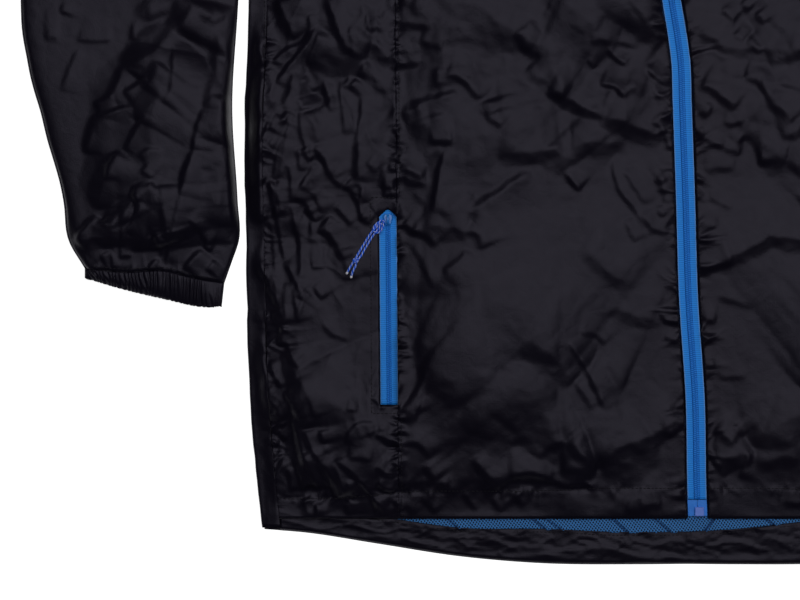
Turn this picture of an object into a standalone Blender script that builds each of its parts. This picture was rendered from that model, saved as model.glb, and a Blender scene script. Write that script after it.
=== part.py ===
"""A men's rain jacket laid flat on its back and zipped shut.

Metres, +Z up, lying on z = 0 about the middle of its outline. The hem points to -Y, the collar
to +Y, and the wearer's right half lies at -X. Tables are in millimetres: x from the centre line
(or `out`, the distance from it on either side) and v up from the front hem's edge. Each cloth piece
is a grid of points on its outer face, with a second face a wall's thickness inside it and a rim.
"""

import math

import bmesh
import bpy
import numpy as np
from mathutils import Matrix

MM = 0.001
GAP = 0.3            # between neighbouring pieces
WALL = 1.5           # outer cloth with its lining
FACING = 1.0         # wall of the turned-up hem and of the lining that shows
TAPE = 1.0           # zip tape
FOLD = WALL + GAP / 2      # outer radius of a pressed fold
FLAT = 2 * FOLD      # height of the cloth at its folded edges
LOFT = 3.7           # how much higher the front lies far from any edge
LOFT_REACH = 30.0    # distance over which it rises
HEM_LIFT = 1.3       # the front hem lies over the lining and the turned-up back hem
HEM_LIFT_REACH = 60.0
EDGE_CALM = 12.0     # folds die out this near an edge
LIP = 14.0           # the back wraps this far over the side fold

HEM_DROP = 34.5      # the back hem's lowest point below the front hem
COLLAR_TOP = 806.0
MIDDLE = (COLLAR_TOP - HEM_DROP) / 2

# Plan curves of one half: (out, v)
SIDE = [(319.5, -8), (322, 14), (328.5, 90), (331, 165), (333, 290), (330, 389), (334, 446)]
ARMHOLE = [(334, 446), (300, 461), (257, 500), (229, 549), (219, 605), (226, 655), (245, 698)]
SHOULDER = [(245, 698), (85, 748)]
FRONT_NECK = [(85, 748), (74, 712), (44, 676), (0, 661)]
BACK_NECK = [(85, 748), (60, 734), (30, 727), (0, 725)]
SLEEVE_OUT = [(453, 188), (465, 209), (469.5, 239), (484.5, 299), (499.5, 362), (501, 392),
              (494, 440), (476, 500), (446, 560), (398, 618), (328, 667), (245, 698)]
SLEEVE_IN = [(348, 177), (342, 194), (337, 209), (338, 239), (342, 310), (338, 380), (334, 446)]
CUFF_SEAM = [(453, 188), (425, 185), (391, 186), (372, 181), (348, 177)]
CUFF_END = [(453, 181), (430, 174), (393, 165), (363, 159), (350, 159)]
BACK_HEM = [(319.5, -8), (288, -10.5), (234, -18.8), (171, -28.5), (111, -33.6), (36, -34.5),
            (0, -34.2)]
COLLAR_FRONT_TOP = [(80, 806), (66, 775), (40, 750), (0, 737)]
COLLAR_BACK_TOP = [(80, 806), (40, 800), (0, 798)]

# The turned-up back hem's upper edge, and the zip's centre line, right across: (x, v)
TURN_UP = [(-305, 11), (-250, 4), (-211, -1.5), (-171, -6.8), (-111, -7.5), (-50, -10), (-9, -9.8),
           (39, -7.5), (84, -2.5), (140, 0), (250, 4), (305, 11)]
ZIP_LINE = [(7.5, 0), (6.9, 14), (5.3, 90), (0.4, 164), (-1.9, 239), (-4.5, 314), (-5.6, 344),
            (-7.5, 359), (-12.4, 389), (-15.5, 410), (-18, 450), (-16, 505), (-8, 570), (0, 661)]

PRINCESS_FOOT = (216.8, 0)     # the seam runs from here to the armhole
LIP_STEPS = 12
SIDE_COLUMNS, SIDE_ROWS = 6, 2 * LIP_STEPS
ARMHOLE_STEPS = 10
SHOULDER_STEPS, NECK_STEPS = 7, 5              # columns of a centre front
BACK_SHOULDER_STEPS, BACK_NECK_STEPS = 3, 3    # columns of half the back
SLEEVE_COLUMNS, SLEEVE_ROWS = 9, 10
SLEEVE_HEAD_STEPS = 3                          # armhole steps that close the sleeve's upper end
CUFF_ROWS = 3
COLLAR_ROWS = 3

LINING_TOP = 30.0
LINING_X = (-225.0, 130.0)

ZIP_HALF = 7.25      # half of the opening that the zip fills
ZIP_SUNK = 0.4       # tape below the cloth's face
CHAIN_HALF = 2.3
CHAIN_RISE = 0.8
ZIP_FOOT = (2.2, 14.3)     # stiffened tape, v from and to
ZIP_BOX_AT = (8.6, 5.6)    # x, v
ZIP_BOX = (6.8, 6.8, 2.0)  # width, length, thickness
ZIP_TOP = 733.0
ZIP_STOP = (2.4, 3.0, 2.0)
ZIP_STOP_OUT = 4.0         # each top stop's distance from the centre line
SLIDER_V = 718.0

# A slider's plate, the arch over it and the eye through the arch: width, length, height of each
FRONT_SLIDER = ((9.0, 12.0, 1.8), (2.2, 9.0, 3.0), (4.0, 5.4, 1.9))
POCKET_SLIDER = ((7.5, 9.0, 2.4), (2.0, 6.6, 2.6), (4.0, 3.8, 1.4))
ARCH_SUNK, EYE_SUNK = 0.4, 0.1     # below the plate's top
SLIDER_RISE = 0.5                  # front slider's plate over the chain's top

# The pull tab: its end bar turns in the front slider's eye
TAB_LONG, TAB_WIDE, TAB_THICK = 30.0, 7.0, 1.2
TAB_NECK = 5.8             # width beside the arch
TAB_WINDOW = (3.6, 5.6)    # clear width, and length below the bar
TAB_AXIS = 1.0             # the bar's axis over the plate
TAB_SLOPE = math.radians(2.5)

POCKET_WIDTH = 13.2            # opening, out from the princess seam
POCKET_V = (85.5, 233.0)
POCKET_CHAIN_HALF = 2.0
POCKET_SLIDER_DOWN = 8.5       # the slider's middle below the opening's top
POCKET_OVERCUT, CUTTER_TOP = 1.0, 30.0     # reach of the opening's cutter past the seam, and up

CORD = 1.7
CORD_REST = 0.4      # clear height of a lying cord over the cloth
TIP = 2.4

# The largest folds: x, v of each end, sideways bow, half-width, height
FOLDS = [
    # wearer's right front
    (-122, 341, -14, 288, -9, 9, 5.0),
    (-212, 394, -118, 350, 4, 16, 5.0),
    (-184, 334, -143, 290, 9, 7, 4.5),
    (-212, 312, -175, 322, 3, 8, 2.5),
    (-170, 226, -118, 262, 4, 10, 3.5),
    (-212, 221, -156, 204, 3, 9, 3.0),
    (-150, 134, -40, 96, 8, 15, 4.5),
    (-205, 124, -140, 62, -8, 18, 3.0),
    (-78, 34, -2, 78, -4, 13, 5.0),
    (-140, 30, -72, 36, 4, 9, 3.5),
    (-100, 268, -40, 283, 5, 11, 3.0),
    (-150, 470, -40, 520, -10, 14, 5.0),
    (-205, 530, -90, 470, 8, 14, 5.0),
    (-180, 640, -95, 600, 6, 14, 4.0),
    # wearer's right side
    (-272, 392, -241, 342, -8, 7, 4.0),
    (-310, 392, -297, 358, 0, 7, 3.5),
    (-279, 372, -322, 326, 4, 6, 4.0),
    (-291, 310, -263, 250, -4, 7, 3.0),
    (-248, 318, -251, 250, 0, 6, 2.5),
    (-318, 250, -300, 90, -6, 7, 4.5),
    (-305, 140, -256, 12, -6, 8, 5.5),
    (-257, 56, -193, 47, 12, 6, 3.5),
    (-304, 404, -240, 486, 6, 9, 4.5),
    # wearer's left front
    (6, 326, 36, 306, 3, 7, 3.5),
    (40, 352, 128, 344, 3, 10, 4.0),
    (50, 336, 92, 286, 4, 8, 3.5),
    (9, 187, 96, 218, -4, 10, 4.5),
    (38, 42, 118, 88, 5, 13, 5.0),
    (92, 298, 198, 340, 8, 13, 4.5),
    (110, 240, 205, 205, -6, 11, 3.5),
    (104, 130, 176, 74, 6, 14, 4.0),
    (120, 36, 190, 58, 3, 10, 3.5),
    (30, 500, 150, 452, -8, 15, 5.0),
    (90, 590, 200, 540, 9, 14, 4.5),
    # wearer's left side
    (242, 380, 276, 330, 7, 7, 4.0),
    (296, 352, 322, 300, -4, 7, 3.5),
    (262, 300, 250, 236, 3, 7, 3.0),
    (316, 230, 298, 110, 6, 8, 4.5),
    (302, 110, 262, 14, 6, 8, 5.0),
    (238, 414, 296, 452, -6, 9, 4.0),
    # wearer's right sleeve
    (-378, 392, -434, 318, -9, 11, 5.5),
    (-381, 388, -391, 196, -5, 9, 5.0),
    (-356, 368, -386, 196, -6, 8, 4.5),
    (-405, 306, -438, 254, -4, 8, 3.5),
    (-448, 314, -408, 326, 3, 6, 2.5),
    (-457, 204, -396, 198, 4, 8, 4.0),
    (-468, 462, -388, 424, -8, 12, 4.5),
    (-430, 548, -350, 480, 8, 13, 4.5),
    (-330, 640, -292, 540, 6, 12, 4.0),
    # wearer's left sleeve
    (380, 400, 424, 306, 8, 11, 5.5),
    (396, 370, 402, 200, 6, 9, 4.5),
    (362, 330, 376, 205, -5, 8, 4.5),
    (440, 290, 410, 236, 5, 8, 3.5),
    (456, 206, 398, 197, -4, 8, 4.0),
    (466, 446, 386, 428, 8, 12, 4.5),
    (420, 560, 352, 488, -8, 13, 4.5),
    (322, 634, 286, 548, -5, 12, 4.0),
]


# ---------------------------------------------------------------- plan curves and heights

def curve(table, count):
    """`count` points, evenly spaced, on a smooth curve through a table's points."""
    knots = np.array(table, float)
    chords = np.linalg.norm(np.diff(knots, axis=0), axis=1)
    at = np.concatenate([[0], np.cumsum(chords)])
    slopes = np.gradient(knots, at, axis=0)
    fine = []
    for k, chord in enumerate(chords):
        t = np.linspace(0, 1, 16, endpoint=False)[:, None]
        fine.append((1 + 2 * t) * (1 - t) ** 2 * knots[k] + t * (1 - t) ** 2 * chord * slopes[k]
                    + t * t * (3 - 2 * t) * knots[k + 1] + t * t * (t - 1) * chord * slopes[k + 1])
    return spread(np.vstack(fine + [knots[-1:]]), np.linspace(0, 1, count))


def spread(path, shares):
    """The points of a path at the given shares, 0 to 1, of its length."""
    steps = np.linalg.norm(np.diff(path, axis=0), axis=1)
    along = np.concatenate([[0], np.cumsum(steps)]) / steps.sum()
    return np.column_stack([np.interp(shares, along, column) for column in path.T])


def beside(path, distance):
    """The path moved sideways, to the left of its direction."""
    ways = np.gradient(path, axis=0)
    ways /= np.linalg.norm(ways, axis=1)[:, None]
    return path + distance * np.column_stack([-ways[:, 1], ways[:, 0]])


def patch(bottom, top, left, right):
    """A Coons patch: plan points [row][column] between four sides that share their corners."""
    across = np.linspace(0, 1, len(bottom))[None, :, None]
    up = np.linspace(0, 1, len(left))[:, None, None]
    ruled = (1 - up) * bottom[None] + up * top[None]
    ruled = ruled + (1 - across) * left[:, None] + across * right[:, None]
    corners = ((1 - up) * ((1 - across) * bottom[0] + across * bottom[-1])
               + up * ((1 - across) * top[0] + across * top[-1]))
    return ruled - corners


def outline():
    """The folded and free edges of one half, at which the cloth lies lowest: (out, v)."""
    return np.vstack([[(0, 0)], curve([(319.5, 0)] + SIDE[1:], 24), curve(SLEEVE_IN, 18)[::-1],
                      curve(CUFF_END, 6)[::-1], curve(SLEEVE_OUT, 36), SHOULDER,
                      curve(COLLAR_FRONT_TOP, 6)])


OUTLINE = outline()


def edge_distance(x, v):
    """How far a plan point lies from the nearest edge of the laid-out jacket."""
    spot = np.stack([np.abs(x), v], axis=-1)
    nearest = np.full(spot.shape[:-1], np.inf)
    for start, end in zip(OUTLINE[:-1], OUTLINE[1:]):
        run = end - start
        if not run.any():
            continue
        share = np.clip((spot - start) @ run / (run @ run), 0, 1)
        away = np.linalg.norm(spot - start - share[..., None] * run, axis=-1)
        nearest = np.minimum(nearest, away)
    return nearest


def fold_height(x, v):
    """The summed height of the folds at a plan point."""
    total = np.zeros(np.shape(x))
    for x0, v0, x1, v1, bow, half_width, rise in FOLDS:
        run_x, run_v = x1 - x0, v1 - v0
        length = math.hypot(run_x, run_v)
        along = np.clip(((x - x0) * run_x + (v - v0) * run_v) / length ** 2, 0, 1)
        off = ((v - v0) * run_x - (x - x0) * run_v) / length - bow * 4 * along * (1 - along)
        total += rise * np.sin(np.pi * along) * np.exp(-(off / half_width) ** 2)
    return total


def height(x, v):
    """The outer face's height over the surface, wherever the front or a sleeve is on top."""
    distance = edge_distance(x, v)
    lift = HEM_LIFT * np.clip(1 - v / HEM_LIFT_REACH, 0, 1) * (np.abs(x) < PRINCESS_FOOT[0] + 100)
    calm = 1 - np.exp(-(distance / EDGE_CALM) ** 2)
    return FLAT + lift + LOFT * (1 - np.exp(-distance / LOFT_REACH)) + calm * fold_height(x, v)


def laid(plan, rise=0.0):
    """Plan points given the front's height: (x, v, z)."""
    return np.concatenate([plan, (height(plan[..., 0], plan[..., 1]) + rise)[..., None]], axis=-1)


def level(plan, z):
    """Plan points at one height."""
    return np.concatenate([plan, np.full(plan.shape[:-1] + (1,), float(z))], axis=-1)


def other_half(grid):
    """The wearer's left copy of a right-hand grid, its columns reversed to keep faces outward."""
    return grid[:, ::-1] * np.array([-1, 1, 1][:grid.shape[-1]])


def right(table_points):
    """Points given by `out`, placed on the wearer's right."""
    return table_points * np.array([-1, 1])


# ---------------------------------------------------------------- objects

def paint(name, colour, roughness, metallic=0.0):
    """A plain material; the colour is linear RGB."""
    material = bpy.data.materials.new(name)
    material.use_nodes = True
    shader = material.node_tree.nodes["Principled BSDF"]
    shader.inputs["Base Color"].default_value = (*colour, 1)
    shader.inputs["Roughness"].default_value = roughness
    shader.inputs["Metallic"].default_value = metallic
    return material


def placed(points):
    """Table millimetres turned into the part's metres."""
    points = np.asarray(points, float).reshape(-1, 3)
    return [tuple(p) for p in (points - (0, MIDDLE, 0)) * MM]


def add(name, mesh, material):
    mesh.materials.append(material)
    thing = bpy.data.objects.new(name, mesh)
    bpy.context.scene.collection.objects.link(thing)
    return thing


def inner_face(grid, thickness):
    """The wall's other face: under what lies on top, over what lies below, inside each fold."""
    inner = grid.copy()
    inwards = np.roll(grid, -1, axis=1) - grid
    inwards[..., 2] = 0
    inwards /= np.maximum(np.linalg.norm(inwards, axis=-1), 1e-9)[..., None]
    z = grid[..., 2]
    at_fold = np.isclose(z, FOLD)
    inner[at_fold] += inwards[at_fold] * thickness
    inner[z > FOLD + 0.01, 2] -= thickness
    inner[z < FOLD - 0.01, 2] += thickness
    return inner


def cloth(name, grid, thickness, material, ring=False, keep=None):
    """One cloth piece from its outer face's points [row][column]; a ring closes on itself."""
    rows, columns = grid.shape[:2]
    outer = []
    for row in range(rows - 1):
        for column in range(columns if ring else columns - 1):
            if keep is None or keep(row, column):
                a = row * columns + column
                b = row * columns + (column + 1) % columns
                outer += [(a, b, b + columns), (a, b + columns, a + columns)]
    count = rows * columns
    inner = [tuple(count + v for v in reversed(face)) for face in outer]
    sides = [(face[k], face[(k + 1) % 3]) for face in outer for k in range(3)]
    paired = set(sides)
    rim = [(b, a, a + count, b + count) for a, b in sides if (b, a) not in paired]
    mesh = bpy.data.meshes.new(name)
    mesh.from_pydata(placed(grid) + placed(inner_face(grid, thickness)), [], outer + inner + rim)
    clean = bmesh.new()
    clean.from_mesh(mesh)
    bmesh.ops.delete(clean, geom=[v for v in clean.verts if not v.link_faces], context="VERTS")
    clean.to_mesh(mesh)
    clean.free()
    mesh.set_sharp_from_angle(angle=math.radians(50))
    return add(name, mesh, material)


def block(name, centre, size, material, bevel=0.0):
    """A bevelled box about its centre, in table millimetres."""
    mesh = bpy.data.meshes.new(name)
    shape = bmesh.new()
    bmesh.ops.create_cube(shape, size=1)
    bmesh.ops.scale(shape, vec=[s * MM for s in size], verts=shape.verts)
    if bevel:
        bmesh.ops.bevel(shape, geom=shape.edges[:], offset=bevel * MM, segments=2, profile=0.5,
                        affect="EDGES")
    shape.to_mesh(mesh)
    shape.free()
    thing = add(name, mesh, material)
    thing.location = placed(centre)[0]
    return thing


def prism(name, profile, low, high, material, origin=(0, 0, 0)):
    """A plan outline about an origin as a straight-sided solid between two heights."""
    mesh = bpy.data.meshes.new(name)
    shape = bmesh.new()
    floor = shape.faces.new([shape.verts.new((x * MM, v * MM, low * MM)) for x, v in profile])
    risen = bmesh.ops.extrude_face_region(shape, geom=[floor])
    moved = [v for v in risen["geom"] if isinstance(v, bmesh.types.BMVert)]
    bmesh.ops.translate(shape, vec=(0, 0, (high - low) * MM), verts=moved)
    bmesh.ops.recalc_face_normals(shape, faces=shape.faces[:])
    shape.to_mesh(mesh)
    shape.free()
    thing = add(name, mesh, material)
    thing.location = placed(origin)[0]
    return thing


def cut(piece, cutter, operation="DIFFERENCE"):
    """Cuts or joins with another object, which is then only a guide."""
    cutter.hide_render = True
    cutter.display_type = "WIRE"
    boolean = piece.modifiers.new(cutter.name, "BOOLEAN")
    boolean.operation = operation
    boolean.object = cutter
    boolean.solver = "EXACT"


def tube(name, points, diameter, material):
    """A round cord along the given points."""
    line = bpy.data.curves.new(name, "CURVE")
    line.dimensions = "3D"
    line.bevel_depth = diameter / 2 * MM
    line.bevel_resolution = 2
    line.use_fill_caps = True
    spline = line.splines.new("POLY")
    spline.points.add(len(points) - 1)
    for point, at in zip(spline.points, placed(points)):
        point.co = (*at, 1)
    line.materials.append(material)
    thing = bpy.data.objects.new(name, line)
    bpy.context.scene.collection.objects.link(thing)
    return thing


def pebble(name, centre, size, material):
    """A rounded lump, such as a knot."""
    mesh = bpy.data.meshes.new(name)
    shape = bmesh.new()
    bmesh.ops.create_icosphere(shape, subdivisions=2, radius=0.5)
    bmesh.ops.scale(shape, vec=[s * MM for s in size], verts=shape.verts)
    shape.to_mesh(mesh)
    shape.free()
    mesh.shade_smooth()
    thing = add(name, mesh, material)
    thing.location = placed(centre)[0]
    return thing


# ---------------------------------------------------------------- cloth pieces

def armhole_points():
    """The armhole seam from underarm to shoulder tip, which all the pieces on it share."""
    return curve(ARMHOLE, ARMHOLE_STEPS + 1)


def zip_points():
    """The zip's centre line at each row of the centre fronts, hem to neck: (x, v)."""
    return curve(ZIP_LINE, SIDE_ROWS + ARMHOLE_STEPS - SIDE_COLUMNS + 1)


def front_neck():
    """The neck seam's front half, from the shoulder to the zip."""
    path = curve(FRONT_NECK, 40)
    zip_edge = ZIP_HALF + GAP
    path = path[path[:, 0] > zip_edge]
    return spread(np.vstack([path, [(zip_edge, path[-1, 1])]]), np.linspace(0, 1, NECK_STEPS + 1))


def shoulder(steps):
    """The shoulder seam from its tip to the neck."""
    return spread(np.array(SHOULDER, float), np.linspace(0, 1, steps + 1))


def front_grid(half):
    """A centre front: half is -1 for the wearer's right, 1 for the left."""
    seam = armhole_points()
    outer = np.vstack([princess(SIDE_ROWS), seam[SIDE_COLUMNS + 1:]])
    outer = beside(outer, GAP / 2) * np.array([half, 1])
    inner = zip_points() + np.array([half * (ZIP_HALF + GAP), 0])
    columns = SHOULDER_STEPS + NECK_STEPS
    foot = spread(np.array([outer[0], inner[0]]), np.linspace(0, 1, columns + 1))
    head = np.vstack([shoulder(SHOULDER_STEPS)[:-1], front_neck()]) * np.array([half, 1])
    head[0] = outer[-1]
    inner[-1] = head[-1]
    grid = laid(patch(foot, head, outer, inner))
    return grid if half < 0 else grid[:, ::-1]


def princess(steps):
    """The princess seam, hem to armhole."""
    return spread(np.array([PRINCESS_FOOT, armhole_points()[SIDE_COLUMNS]]),
                  np.linspace(0, 1, steps + 1))


def beside_princess(v, away):
    """Points at heights v, a distance out from the princess seam: (out, v)."""
    foot, top = princess(1)
    return np.column_stack([foot[0] + (top[0] - foot[0]) * np.array(v) / top[1] + away, v])


def side_points():
    """The side fold's edge, from the front hem's level to the underarm."""
    return curve([(320.5, 0)] + SIDE[1:], LIP_STEPS + 1)


def side_grid():
    """The wearer's right side front, from the forward side seam to the princess seam."""
    top = armhole_points()[:SIDE_COLUMNS + 1]
    share = (LIP + GAP) / (top[0, 0] - top[1, 0])
    top[0] += (top[1] - top[0]) * share
    top = beside(top, GAP / 2)
    edge = side_points() - (LIP + GAP, 0)
    edge[-1] = top[0]
    edge = finer(edge, SIDE_ROWS // LIP_STEPS)
    seam_line = princess(SIDE_ROWS) + (GAP / 2, 0)
    top[-1] = seam_line[-1]
    foot = spread(np.array([edge[0], seam_line[0]]), np.linspace(0, 1, SIDE_COLUMNS + 1))
    return laid(right(patch(foot, top, edge, seam_line)))


def sleeve_grid():
    """The wearer's right sleeve: a sheet folded along its outer edge, its seam along the inner one.

    The armhole's upper steps close the sheet's end and its lower steps carry on the inner edge.
    """
    armhole = beside(armhole_points(), -GAP / 2)
    armhole[0] += (0, GAP / 2)
    low_steps = ARMHOLE_STEPS - SLEEVE_HEAD_STEPS
    head = finer(armhole[low_steps:][::-1], SLEEVE_COLUMNS // SLEEVE_HEAD_STEPS)
    foot = beside(curve(CUFF_SEAM, SLEEVE_COLUMNS + 1), -GAP / 2)
    inner = np.vstack([curve(SLEEVE_IN, SLEEVE_ROWS + 1)[:-1], armhole[:low_steps + 1]])
    outer = curve(SLEEVE_OUT, SLEEVE_ROWS + low_steps + 1)
    outer[0], outer[-1], inner[0] = foot[0], head[0], foot[-1]
    plan = right(patch(foot, head, outer, inner))
    inset = fold_inset(plan)
    top = laid(inset)
    top[:, 0, 2] = FLAT
    return np.concatenate([level(inset[:, ::-1], 0), level(plan[:, :1], FOLD), top], axis=1)


def finer(path, parts):
    """A path with each of its steps divided into equal parts."""
    steps = len(path) - 1
    return np.column_stack([np.interp(np.arange(steps * parts + 1) / parts, np.arange(steps + 1), c)
                            for c in path.T])


def fold_inset(plan):
    """A plan grid with its first column drawn in to where the fold's round edge begins."""
    first = plan[:, 1] - plan[:, 0]
    inset = plan.copy()
    inset[:, 0] += first / np.linalg.norm(first, axis=1)[:, None] * FOLD
    return inset


def cuff_grid():
    """The wearer's right elastic cuff, a short tube folded flat at both ends."""
    head = right(beside(curve(CUFF_SEAM, SLEEVE_COLUMNS + 1), GAP / 2))
    foot = right(curve(CUFF_END, SLEEVE_COLUMNS + 1))
    sides = [finer(np.array([foot[k], head[k]]), CUFF_ROWS) for k in (0, -1)]
    plan = patch(foot, head, sides[0], sides[1])
    inset = fold_inset(fold_inset(plan)[:, ::-1])[:, ::-1]
    top = laid(inset)
    top[:, [0, -1], 2] = FLAT
    return np.concatenate([level(plan[:, :1], FOLD), top, level(plan[:, -1:], FOLD),
                           level(inset[:, ::-1], 0)], axis=1)


def back_grid():
    """The back: its flat plate, and the lips that wrap over both side folds to the side seams."""
    half_hem = curve(BACK_HEM, BACK_SHOULDER_STEPS + BACK_NECK_STEPS + 1)
    armhole = beside(armhole_points(), GAP / 2)
    side = side_points()
    side[-1, 1] = armhole[0, 1] - GAP
    edge = np.vstack([half_hem[:1], side, armhole[1:]])
    plate_edge = edge.copy()
    plate_edge[:LIP_STEPS + 2, 0] -= FOLD
    half_hem[0, 0] -= FOLD
    head = np.vstack([shoulder(BACK_SHOULDER_STEPS)[:-1], curve(BACK_NECK, BACK_NECK_STEPS + 1)])
    head[0] = plate_edge[-1]
    foot = np.vstack([half_hem, half_hem[-2::-1] * (-1, 1)])
    top = np.vstack([head, head[-2::-1] * (-1, 1)])
    plate = level(patch(foot, top, plate_edge, plate_edge * (-1, 1)), 0)
    lips = []
    for inset in (LIP, LIP / 2):
        lips.append(laid(edge - (inset, 0)))
    lips.append(level(edge - (FOLD, 0), FLAT))
    lips.append(level(edge, FOLD))
    lip = np.stack(lips, axis=1)
    return np.concatenate([lip, plate, other_half(lip)], axis=1)


def collar_grid():
    """The stand collar from the zip's left side round the back to its right side."""
    low = beside(front_neck(), -GAP)[::-1]
    high = curve(COLLAR_FRONT_TOP, NECK_STEPS + 1)[::-1]
    low[0, 0] = high[0, 0] = ZIP_HALF + GAP
    back_low = beside(curve(BACK_NECK, BACK_NECK_STEPS + 1), -GAP)
    back_high = curve(COLLAR_BACK_TOP, BACK_NECK_STEPS + 1)
    back_low[0] = low[-1]
    rows = []
    for up in np.linspace(0, 1, COLLAR_ROWS + 1):
        front = (1 - up) * low + up * high
        front[-1, 0] -= FOLD
        front = laid(front)
        front[-1, 2] = FLAT
        back = (1 - up) * back_low + up * back_high
        fold = level(back[:1], FOLD)
        back[0, 0] -= FOLD
        half = np.vstack([front, fold, level(back, 0)])
        mirrored = half[-2::-1] * (-1, 1, 1)
        rows.append(np.vstack([half, mirrored]))
    return np.array(rows)


def build_cloth(shell, mesh_cloth):
    back = back_grid()
    lips = 4
    last = back.shape[1] - 1

    def kept(row, column):
        is_lip = column < lips or column >= last - lips
        return 1 <= row <= LIP_STEPS or not is_lip

    cloth("back", back, WALL, shell, keep=kept)
    across = curve(TURN_UP, 25)
    low = np.vstack([curve(BACK_HEM, 60) * (-1, 1), curve(BACK_HEM, 60)[-2::-1]])
    hem = np.column_stack([across[:, 0], np.interp(across[:, 0], low[:, 0], low[:, 1]) + GAP])
    facing_top = WALL + GAP + FACING
    cloth("back_hem", level(np.stack([hem, across]), facing_top), FACING, shell)
    shares = np.linspace(*LINING_X, 17)
    foot = np.column_stack([shares, np.interp(shares, across[:, 0], across[:, 1]) + GAP])
    head = np.column_stack([shares, np.full(17, LINING_TOP)])
    cloth("lining", level(np.stack([foot, head]), facing_top), FACING, mesh_cloth)

    for half, word in ((-1, "right"), (1, "left")):
        cloth(f"front_{word}", front_grid(half), WALL, shell)
        side = cloth(f"side_{word}", on_half(side_grid(), half), WALL, shell)
        corners = np.vstack([beside_princess(POCKET_V, -POCKET_OVERCUT),
                             beside_princess(POCKET_V, POCKET_WIDTH)[::-1]])
        corners = (corners * (half, 1))[::half]
        cut(side, prism(f"pocket_cutter_{word}", corners, 0, CUTTER_TOP, shell))
        cloth(f"sleeve_{word}", on_half(sleeve_grid(), half), WALL, shell)
        cloth(f"cuff_{word}", on_half(cuff_grid(), half), WALL, shell, ring=True)
    cloth("collar", collar_grid(), WALL, shell)


def on_half(grid, half):
    """A right-hand grid, or its left-hand copy whose upper face follows the left half's folds."""
    if half < 0:
        return grid
    copy = other_half(grid)
    change = height(copy[..., 0], copy[..., 1]) - height(-copy[..., 0], copy[..., 1])
    on_top = copy[..., 2] > FLAT + 0.01
    copy[..., 2] += np.where(on_top, change, 0)
    return copy


# ---------------------------------------------------------------- zips and cords

def strip(line, low, high, rise):
    """Two-column grid beside a line (x, v), from one sideways offset to another."""
    return laid(np.stack([line + (low, 0), line + (high, 0)], axis=1), rise)


def build_front_zip(tape, coil, film, metal):
    """The centre zip, which runs up through the collar, with its slider and hard pull tab."""
    rows = zip_points()
    above = np.column_stack([np.zeros(4), np.linspace(rows[-1, 1], ZIP_TOP, 5)[1:]])
    line = np.vstack([rows, above])
    foot_row = np.searchsorted(line[:, 1], ZIP_FOOT[1])
    start = spread(line, [0])[0]
    start_x = np.interp(ZIP_FOOT[1] + GAP, line[:, 1], line[:, 0])
    line = np.vstack([[(start_x, ZIP_FOOT[1] + GAP)], line[foot_row:]])
    inner, outer = CHAIN_HALF + GAP, ZIP_HALF
    cloth("zip_tape_right", strip(line, -outer, -inner, -ZIP_SUNK), TAPE, tape)
    cloth("zip_tape_left", strip(line, inner, outer, -ZIP_SUNK), TAPE, tape)
    chain_end = line[line[:, 1] < SLIDER_V + 6]
    cloth("zip_chain", strip(chain_end, -CHAIN_HALF, CHAIN_HALF, CHAIN_RISE),
          TAPE + CHAIN_RISE + ZIP_SUNK, coil)

    low, high = ZIP_FOOT
    for half, word in ((-1, "right"), (1, "left")):
        rail = [(start[0], low), (start_x, high)]
        near = np.array(rail) + (half * GAP / 2, 0)
        far = np.array(rail) + ([half * (ZIP_HALF - 0.1), 0], [half * (ZIP_HALF - 0.1), 0])
        columns = [far, near] if half < 0 else [near, far]
        cloth(f"zip_foot_{word}", laid(np.stack(columns, axis=1), -ZIP_SUNK), TAPE, film)
        stop_v = ZIP_TOP - ZIP_STOP[1]
        top = float(height(half * ZIP_STOP_OUT, stop_v)) - ZIP_SUNK + GAP
        block(f"zip_stop_{word}", (half * ZIP_STOP_OUT, stop_v, top + ZIP_STOP[2] / 2), ZIP_STOP,
              metal, 0.3)
    box_x, box_v = ZIP_BOX_AT
    box_top = float(height(box_x, box_v)) - ZIP_SUNK + GAP
    block("zip_box", (box_x, box_v, box_top + ZIP_BOX[2] / 2), ZIP_BOX, metal, 0.4)

    base = float(height(0.0, SLIDER_V)) + CHAIN_RISE + SLIDER_RISE
    slider("zip_slider", (0, SLIDER_V, base), FRONT_SLIDER, metal)
    pull_tab((0, SLIDER_V, base + FRONT_SLIDER[0][2] + TAB_AXIS), metal)


def slider(name, foot, sizes, metal):
    """A slider standing on `foot`: a plate with an arch over it, and an eye through the arch."""
    x, v, base = foot
    plate_size, arch_size, eye_size = sizes
    plate_top = base + plate_size[2]
    plate = block(name, (x, v, base + plate_size[2] / 2), plate_size, metal, 0.5)
    arch = block(f"{name}_arch", (x, v, plate_top - ARCH_SUNK + arch_size[2] / 2), arch_size,
                 metal, 0.3)
    eye = block(f"{name}_eye", (x, v, plate_top - EYE_SUNK + eye_size[2] / 2), eye_size, metal)
    cut(plate, arch, "UNION")
    cut(plate, eye)
    return plate


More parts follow.
